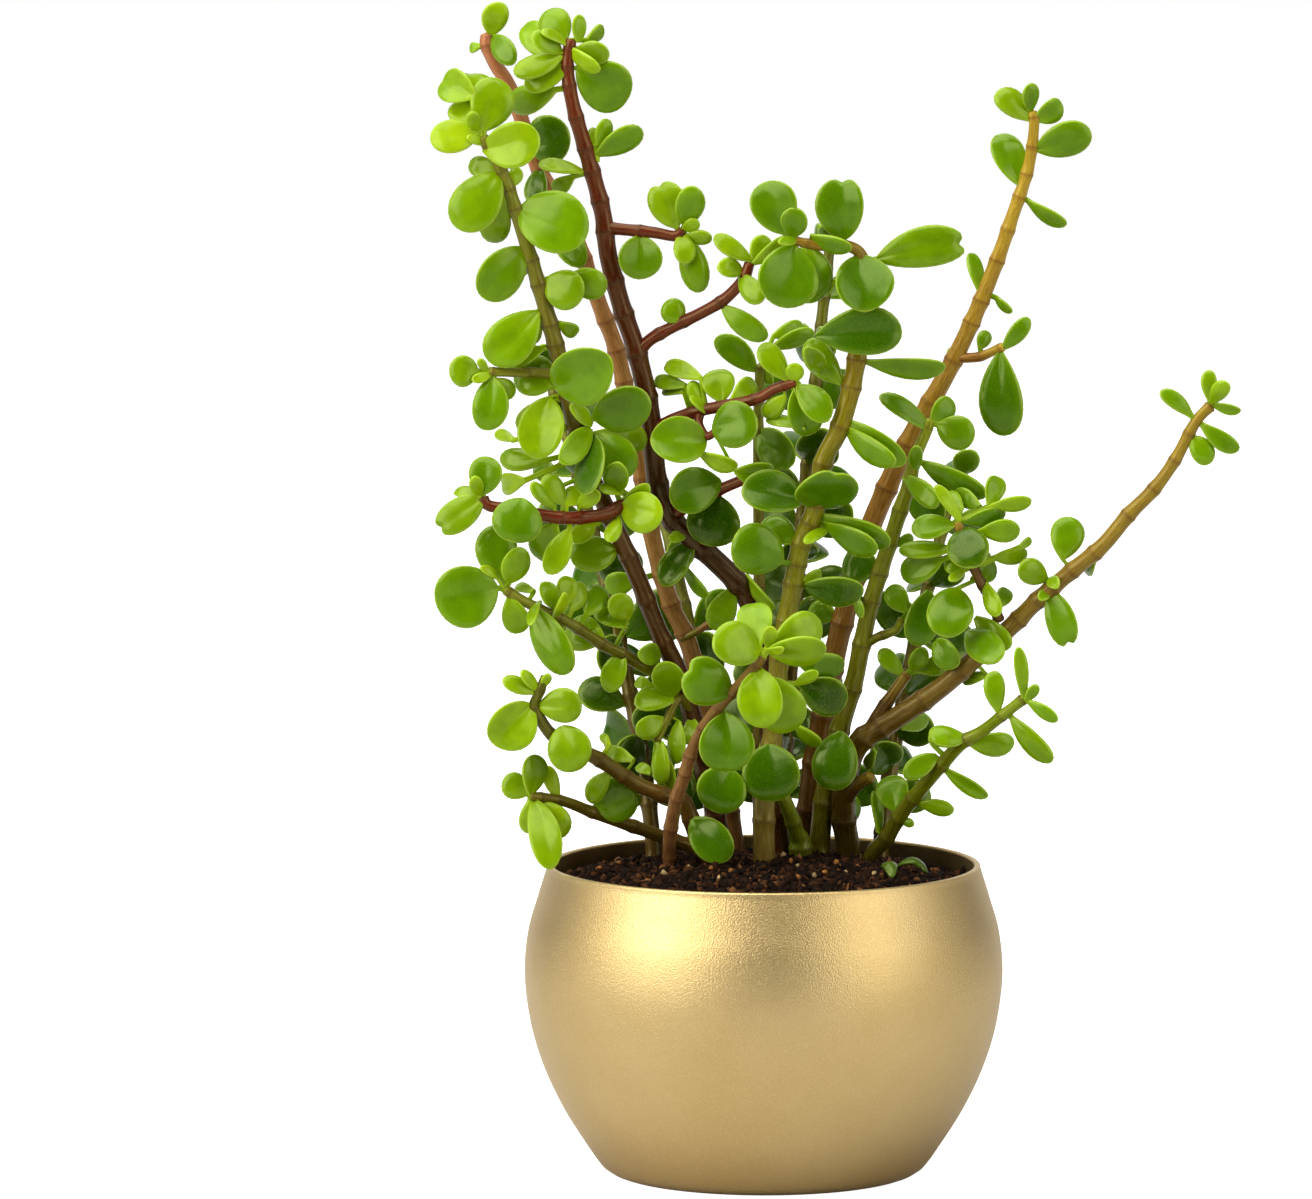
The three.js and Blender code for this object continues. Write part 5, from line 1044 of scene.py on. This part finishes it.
# Age of each cutting's leaves, from 0, just opened, to 1, the oldest. The rear shoots' high age is
# partly painted shade, darkening the leaves deep behind the rest.
AGES = {
    "stem_front": 0.4, "stem_centre": 0.6, "stem_leader": 0.5, "stem_left": 0.45, "stem_low_left": 0.42,
    "stem_lowest_left": 0.36, "stem_tan": 0.45, "stem_thin": 0.5, "stem_stub": 0.4, "stem_green": 0.62,
    "stem_right": 0.5, "stem_long": 0.58, "stem_low_right": 0.6, "stem_rear": 0.88,
}
DEPTH_SHADE_AGE = 0.015                             # painted shade: age added, so a darker green, for each millimetre behind the middle plane
DEEPEST = 15
# Leaves darker and leaves paler than the rest of their cutting's, by where their middles show: [x, z].
# Partly older and younger leaves, partly painted shade on leaves in shadow and painted light on leaves
# that the lamps catch.
OLD_AND_SHADED = [[-46, 200], [-35, 144], [-11, 131], [1, 136], [14, 118], [-19, 124], [40, 126], [11, 95], [-10, 67],
       [19, 169], [-16, 97], [-27, 161], [45, 134], [5, 78]]
FRESH_AND_LIT = [[-55, 216], [-61, 210], [-53, 233], [-44, 220], [-24, 134], [-4, 106], [-45, 149], [-20, 195],
         [48, 214], [60, 207], [-52, 169], [-59, 195], [-50, 207], [33, 187], [37, 113], [-51, 92],
         [39, 150]]
SPOT_REACH = 3.2
# Age added and taken away at those spots: partly real age, partly painted shade and painted light.
OLDER_AND_SHADED = 0.3
FRESHER_AND_LIT = 0.22
# The small old leaves low on the rear shoots, hidden deep among the stems, which have no solids; their
# darkest green is partly painted shade of the hollow among the stems
LOW_LENGTH = (9.5, 13.5)
LOW_WIDTH = (7, 9.6)
LOW_STEP = 0.6                               # from pair to pair, of the step between two places of a shoot
LOW_TURN = 1.1                               # about the stem from pair to pair
# Age of the low leaves: old, and darkened further as painted shade.
LOW_SHADED_AGE = 0.95
LEAF_COLOURS = [(166, 194, 12), (136, 168, 2), (98, 138, 0), (60, 100, 0), (30, 62, 0)]
# A leaf's steps from base to tip, and its points over the face and under it as shares of half its width
LARGE_GRID = (14, [1, 0.95, 0.8, 0.5, 0.18, 0, -0.18, -0.5, -0.8, -0.95, -1], [-0.9, -0.5, 0, 0.5, 0.9])
SMALL_GRID = (10, [1, 0.9, 0.5, 0, -0.5, -0.9, -1], [-0.7, 0, 0.7])
nature = np.random.default_rng(5)


def leaf_of(route, row):
    """A traced leaf: its root on the stem nearest to its base, the base and the tip as they show, its
    width, made up for the turn of its face, and that turn."""
    x, z, tip_x, tip_z, width, lean, turn = row[:7]
    spot, _ = nearest_spot(route, x, z)
    depth = spot[2] + (row[7] if len(row) > 7 else 0)
    return (seen(spot), seen([x, z, depth]), seen([tip_x, tip_z, depth + lean]),
            width / np.cos(np.radians(turn)), turn)


def blade_frame(base, tip, turn):
    """A blade's own directions: along from base to tip, across it at right angles to the sight of it,
    turned about along, and its face, which is across x along."""
    along = unit(tip - base)
    across = unit(np.cross(along, unit(EYE - base)))
    across = turned_about(across, along, np.radians(turn)[..., None])
    return along, across, np.cross(across, along)


def solid_corners(base, tip, width, turn, blade):
    """The corners that a solid's blade has at each step of its outline, for many blades at once."""
    _, across, face = blade_frame(base, tip, turn)
    length = np.linalg.norm(tip - base, axis=-1)[:, None, None]
    t, share = blade[:, 0][:, None], blade[:, 1]
    centre = base + (tip - base)[:, None] * t + face[:, None] * (ARCH * length * 4 * t * (1 - t))
    thick = np.where(blade[:, 0] == 1, THINNEST, np.minimum(BLADE_THICKNESS, 0.9 + width[:, None] / 12))
    side = across[:, None] * (share * width[:, None] / 2)[..., None]
    front = face[:, None] * (thick / 2)[..., None]
    return np.stack([centre + side + front, centre + side - front, centre - side - front,
                     centre - side + front], 2).reshape(len(width), -1, 3)


def as_bent(leaf, corners):
    """The leaf as its solid has it. A solid's blade was bent until it crossed nothing, by the first of
    BENDS that did: the tip moved in depth, the face turned, the size cut. Each bend is tried here, and
    the one whose corners are found among the solid's own is taken. None means it has no solid."""
    root, base, tip, width, turn = leaf
    move, more, size = BENDS.T
    reach = tip - base + np.stack([0 * move, move, 0 * move], -1)
    length = np.linalg.norm(tip - base)
    tips = base + reach * (size * np.maximum(1, length / np.linalg.norm(reach, axis=1)))[:, None]
    widths, faces = width * size, turn + more
    near = corners[np.linalg.norm(corners - base, axis=1) < 1.3 * length + width]
    score = np.zeros(len(BENDS))
    for blade, fits in ((LARGE_BLADE, widths >= LARGE_WIDTH), (SMALL_BLADE, widths < LARGE_WIDTH)):
        if fits.any() and len(near):
            made = solid_corners(base, tips[fits], widths[fits], faces[fits], blade)
            away = np.linalg.norm(made[:, :, None] - near, axis=-1).min(-1)
            score[fits] = (away < MATCH).mean(-1)
    best = np.argmax(score)
    if score[best] < MATCHED:
        return None
    return root, base, tips[best], widths[best], faces[best]


def leaf_grid(rows, over, under):
    """Where a leaf's points lie in its own skin: s along it, at even turns of a half circle so that
    they crowd at both ends, and (u, v) round its section, over the face and back under, where
    |u|^3 + |v|^3 = 1. over and under are shares of the half width, from the right rim and back to it."""
    s = (1 - np.cos(np.pi * np.arange(rows) / rows)) / 2
    u = np.array(over + under)
    front = np.where(np.arange(len(u)) < len(over), 1, -1)
    return s[:, None], u, front * np.cbrt(1 - np.abs(u) ** 3)


def leaf_skins(leaves, rows, over, under):
    """Many leaves at once. With s from base to tip, the half width is half the width times
    (s / w)^a ((1 - s) / (1 - w))^0.5, a being 0.5 w / (1 - w) and w where it is widest, which is
    0.66 - 0.12 width / length: the rounder a leaf, the nearer its middle. The thickness swells as
    s^0.4 (1 - s^5)^0.5. The middle line arches by 4 s (1 - s), the section cups by u^2 and folds a
    little by |u|, a crease e^-(u / 0.16)^2 runs up from the stalk, and a dented tip is drawn in by
    e^-(x / 0.13 width)^2. Two rings before s = 0 carry the stalk into the stem."""
    root, base, tip, width, turn, dent = (np.array(column) for column in zip(*leaves))
    count = len(leaves)
    s, u, v = leaf_grid(rows, over, under)
    along, across, face = blade_frame(base, tip, turn + nature.uniform(-ROLL, ROLL, count))
    length = np.linalg.norm(tip - base, axis=1)[:, None, None]
    wide = width[:, None, None]
    widest = np.clip(0.66 - 0.12 * wide / length, *WIDEST) + nature.uniform(-0.03, 0.04, (count, 1, 1))
    rise = ROUND_TIP * widest / (1 - widest)
    outline = (s / widest) ** rise * ((1 - s) / (1 - widest)) ** ROUND_TIP
    half = np.sqrt((STALK * (1 - s)) ** 2 + (wide / 2 * outline) ** 2)
    thick = np.minimum(PLUMP, 0.95 + wide / 8.5)
    swell = thick / 2 * s ** 0.4 * np.sqrt(1 - s ** 5)
    depth = np.sqrt((0.5 * (1 - s)) ** 2 + swell ** 2)
    skew = nature.uniform(-SKEW, SKEW, (count, 1, 1))
    x = half * u * (1 + skew * u)
    cup = nature.uniform(*CUP, (count, 1, 1)) * half * u ** 2
    fold = nature.uniform(0.0, FOLD, (count, 1, 1)) * half * np.abs(u) * (1 - 0.6 * s)
    crease = CREASE * np.exp(-(u / 0.16) ** 2) * (v > 0) * np.clip(1 - s / 0.85, 0, 1) * (wide > 4)
    sway = nature.uniform(-0.04, 0.04, (count, 1, 1)) * length * 4 * s * (1 - s)
    wave = 0.012 * wide * np.sin(2 * np.pi * (s * 1.3 + nature.random((count, 1, 1)))) * u
    y = depth * v * (1 - 0.22 * u ** 2) + cup + fold - crease + wave + ARCH * length * 4 * s * (1 - s)
    drawn = dent[:, None, None] * DENT * length * np.exp(-(x / (0.13 * wide)) ** 2) * s ** 10
    go = s * length - drawn
    out, aside, up = (vector[:, None, None] for vector in (along, across, face))
    blade = base[:, None, None] + out * go[..., None] + aside * (x + sway)[..., None] + up * y[..., None]
    end = root + unit(root - base) * SUNK
    stalk = np.stack([blade[:, 0] + (end - base)[:, None] * q for q in (1.0, 0.5)], 1)
    rings = np.concatenate([stalk, blade], 1)
    tip_point = base + along * length[:, 0] * (1 - DENT * dent[:, None])
    points = np.concatenate([rings.reshape(count, -1, 3), end[:, None], tip_point[:, None]], 1)
    rim = np.minimum(half * (1 - np.abs(u)), (1 - s) * length + 0 * u)
    return points, rim, s + 0 * u * wide, v + 0 * rim


def leaf_tones(ages, s, count):
    """A leaf's colour by its age, a fresher green towards its stalk."""
    light = np.array([rgb(*colour)[:3] for colour in LEAF_COLOURS])
    share = np.clip(np.array(ages)[:, None, None] - 0.16 * np.exp(-s / 0.16), 0, 1)
    tone = np.stack([spread(light[:, k], share) for k in range(3)], -1)
    tone *= nature.uniform(0.85, 1.15, (count, 1, 1, 1))
    return np.concatenate([tone, np.ones((*share.shape, 1))], -1)


def leaf_batch(leaves, ages, rows, over, under):
    """The points, faces and marks of like leaves: tone, rim, which is the distance from the rim in
    millimetres, and under, 1 on the back."""
    points, rim, s, v = leaf_skins(leaves, rows, over, under)
    count, each = points.shape[:2]
    around = len(over + under)
    fours, threes = skin_faces(rows + 2, around)
    shift = each * np.arange(count)[:, None, None]

    def with_stalk(values, stalk, poles):
        """Values at the blade's points, with the stalk's two rings before and the two poles after."""
        first = np.full((count, 2, around), stalk)
        whole = np.concatenate([first, values], 1).reshape(count, -1)
        return np.concatenate([whole, np.tile(poles, (count, 1))], 1).ravel()

    tone = leaf_tones(ages, s, count)
    tone = np.concatenate([tone[:, :1], tone[:, :1], tone], 1).reshape(count, -1, 4)
    tone = np.concatenate([tone, tone[:, :1], tone[:, -1:]], 1).reshape(-1, 4)
    marks = {"tone": tone, "rim": with_stalk(rim, 2.0, [2.0, 0.0]),
             "under": with_stalk((v < -0.1) * 1.0, 0.0, [0.0, 0.5])}
    fours, threes = (fours + shift).reshape(-1, 4), (threes + shift).reshape(-1, 3)
    return points.reshape(-1, 3), fours, threes, marks


def leaf_piece(name, node, leaves, ages):
    """One mesh of a cutting's leaves, the large ones with finer skins than the small."""
    leaves = list(zip(leaves, ages))
    large = [item for item in leaves if item[0][3] >= LARGE_WIDTH]
    small = [item for item in leaves if item[0][3] < LARGE_WIDTH]
    batches = [leaf_batch(*zip(*group), *grid)
               for group, grid in ((large, LARGE_GRID), (small, SMALL_GRID)) if group]
    starts = np.cumsum([0] + [len(batch[0]) for batch in batches])
    points = np.concatenate([batch[0] for batch in batches])
    fours = np.concatenate([batch[1] + start for batch, start in zip(batches, starts)])
    threes = np.concatenate([batch[2] + start for batch, start in zip(batches, starts)])
    marks = {key: np.concatenate([batch[3][key] for batch in batches]) for key in batches[0][3]}
    made = add_piece(name, points, fours, threes, leaf_green, marks)
    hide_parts(node)
    return made


def leaf_finish():
    """Waxy succulent skin: the leaf's own green, mottled and finely grained like its water cells, paler
    on the back, with painted light that brightens it towards its margins, a pale line round the rim, a
    soft gloss and a little light let in."""
    leaf = Finish("leaf_green", {
        "Specular IOR Level": 0.5, "Specular Tint": (0.9, 1.0, 0.4, 1.0), "Subsurface Weight": 0.12,
        "Subsurface Scale": 0.0012, "Subsurface Radius": (0.5, 1.0, 0.2)})
    where = leaf.place()
    cloud = leaf.noise(where, 260.0, 3.0)
    cells = leaf.noise(where, 4200.0, 2.0)
    tone = leaf.mark("tone", "Color")
    tone = leaf.mix(leaf.step(cloud, 0.35, 0.7) * 0.3, tone, rgb(46, 84, 0))
    tone = leaf.mix(leaf.step(cells, 0.5, 0.72) * 0.2, tone, rgb(140, 178, 14))
    tone = leaf.mix(leaf.mark("under") * 0.25, tone, rgb(116, 142, 16))
    rim = leaf.step(leaf.mark("rim"), 0.42, 0.1)
    # Painted light: the face grows lighter towards the rim, as a rounded leaf looks where it catches more
    # light.
    painted_margin_light = leaf.step(leaf.mark("rim"), 2.2, 0.0)
    tone = leaf.mix(painted_margin_light * 0.16, tone, rgb(150, 184, 14))
    tone = leaf.mix(rim * 0.45, tone, rgb(182, 208, 60))
    bump = leaf.bump(0.12, 0.0001, 0.7 * cells + 0.3 * cloud)
    return leaf.finished(tone, 0.15 + 0.1 * cells, bump)


def corners_of(node):
    """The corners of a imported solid, in millimetres."""
    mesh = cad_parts[node].data
    flat = np.zeros(len(mesh.vertices) * 3, np.float32)
    mesh.vertices.foreach_get("co", flat)
    return np.unique(np.round(flat.reshape(-1, 3) / MM, 3), axis=0).astype(float)


def aged(age, width):
    """The age of one leaf: its cutting's, less for a narrow leaf, and moved a little at random."""
    return float(np.clip(age - 0.045 * (8 - min(width, 11)) + nature.uniform(-0.14, 0.14), 0, 1))


def covers(row, spots):
    """Whether a traced leaf's middle lies on one of the spots."""
    middle = (np.array(row[:2]) + row[2:4]) / 2
    return np.linalg.norm(np.array(spots) - middle, axis=1).min() < SPOT_REACH


def low_pairs(points, bare):
    """Pairs of small old leaves along the bare part of a rear shoot: each pair is turned about the
    stem by a fixed angle from the last, and its leaves stand half as far up as out."""
    leaves = []
    for number, at in enumerate(np.arange(1, bare * (len(points) - 1), LOW_STEP)):
        i = int(at)
        root = points[i] + (at - i) * (points[i + 1] - points[i])
        along = unit(points[i + 1] - points[i])
        across = unit(np.cross([0.0, 1.0, 0.0], along))
        for side in (0, np.pi):
            out = turned_about(across, along, LOW_TURN * number + side)
            reach = unit(out + 0.5 * along) * nature.uniform(*LOW_LENGTH)
            leaves.append((root, root + 0.15 * reach, root + reach,
                           nature.uniform(*LOW_WIDTH), nature.uniform(-30, 30), 0.0))
    return leaves


leaf_green = leaf_finish()
for name, shoots in CUTTINGS.items():
    corners = corners_of(name)
    leaves, ages = [], []
    for places, _, rows in shoots:
        route = np.array(places, float)
        for row in rows:
            leaf = leaf_of(route, row)
            leaf = as_bent(leaf, corners) if row[4] > YOUNG else leaf
            if leaf is None:
                continue
            dent = float(min(np.hypot(row[2] - x, row[3] - z) for x, z in DENTED) < DENT_REACH)
            leaves.append((*leaf, dent))
            # Painted shade: a leaf behind the middle plane is aged, and so darkened, by its depth there.
            depth_shade = DEPTH_SHADE_AGE * np.clip(leaf[1][1], 0, DEEPEST)
            # Painted shade and painted light as well as age: the listed leaves are made older or fresher
            # in colour.
            shift = depth_shade + OLDER_AND_SHADED * covers(row, OLD_AND_SHADED) - FRESHER_AND_LIT * covers(row, FRESH_AND_LIT)
            ages.append(aged(AGES[name] + shift, leaf[3]))
    if leaves:
        leaf_piece(name.replace("stem", "leaves"), name, leaves, ages)

for name, (points, drawn_leaves) in rear.items():
    corners = corners_of(name)
    fitted = [as_bent(leaf, corners) for leaf in drawn_leaves]
    leaves = [(*leaf, 0.0) for leaf in fitted if leaf is not None]
    # The rear shoots' dark green is partly painted shade.
    ages = [aged(AGES["stem_rear"], leaf[3]) for leaf in leaves]
    low = low_pairs(points, REAR_SHOOTS[name][5])
    # The low leaves' dark green is partly painted shade.
    leaf_piece(name.replace("stem", "leaves"), name, leaves + low, ages + [LOW_SHADED_AGE] * len(low))

# Two dropped leaves: thin, narrow, half dried leaves that lie curled on the soil, their ends down
# and their backs up, the green gone dark and olive.
# name: (end [x, y], other end [x, y], width, how far the middle stands off the soil)
LOOSE_LEAVES = {
    "loose_leaf_1": ([25.5, -13.0], [24.5, -6.0], 3.2, 2.0),
    "loose_leaf_2": ([26.5, -1.0], [33.0, -3.0], 3.2, 2.2),
}
LOOSE_REST = 0.7                             # of a leaf's middle line over the soil at its ends
LOOSE_THICKNESS = 1.1
NO_RIM = 3.0                                 # a distance past which a leaf shows no paler rim


def curled_leaf(start, end, width, curl):
    """A leaf from end to end in an arch, curl 4 t (1 - t) high. Its half width is the same width
    narrowed by (4 t (1 - t))^0.55 and skewed to t = 0.55, and its edges hang by a third of u^2."""
    steps, over, under = LARGE_GRID
    t, u, v = leaf_grid(2 * steps, over, under)
    t = t[1:]
    ends = np.array([[x, y, soil_height(np.hypot(x, y)) + LOOSE_REST] for x, y in (start, end)])
    along = unit(ends[1] - ends[0])
    across = unit(np.cross(along, [0.0, 0.0, 1.0]))
    up = np.cross(across, along)
    reach = np.linalg.norm(ends[1] - ends[0])
    half = width / 2 * (4 * t * (1 - t)) ** 0.55 * (1 + 0.25 * (t - 0.5))
    high = curl * 4 * t * (1 - t) - 0.3 * half * u ** 2 + 0.08 * np.sin(14 * t) * u
    high = high + LOOSE_THICKNESS / 2 * v * (4 * t * (1 - t)) ** 0.4
    rings = (ends[0] + along * (t * reach + 0 * u)[..., None] + across * (half * u)[..., None]
             + up * high[..., None])
    tone = np.array(rgb(72, 92, 22)) * (1 - 0.35 * t[..., None]) + 0 * rings[..., :1]
    tone[..., 3] = 1
    marks = {"tone": np.concatenate([tone.reshape(-1, 4), tone[[0, -1], 0]]),
             "rim": np.append((NO_RIM + 0 * rings[..., 0]).ravel(), [NO_RIM, NO_RIM]),
             "under": np.append(((v < -0.1) + 0 * t).ravel() * 1.0, [0.5, 0.5])}
    return np.concatenate([rings.reshape(-1, 3), ends]), *skin_faces(len(t), len(u)), marks


for name, (start, end, width, curl) in LOOSE_LEAVES.items():
    points, fours, threes, marks = curled_leaf(start, end, width, curl)
    made = add_piece(name.replace("leaf", "blade"), points, fours, threes, leaf_green, marks)
    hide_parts(name)
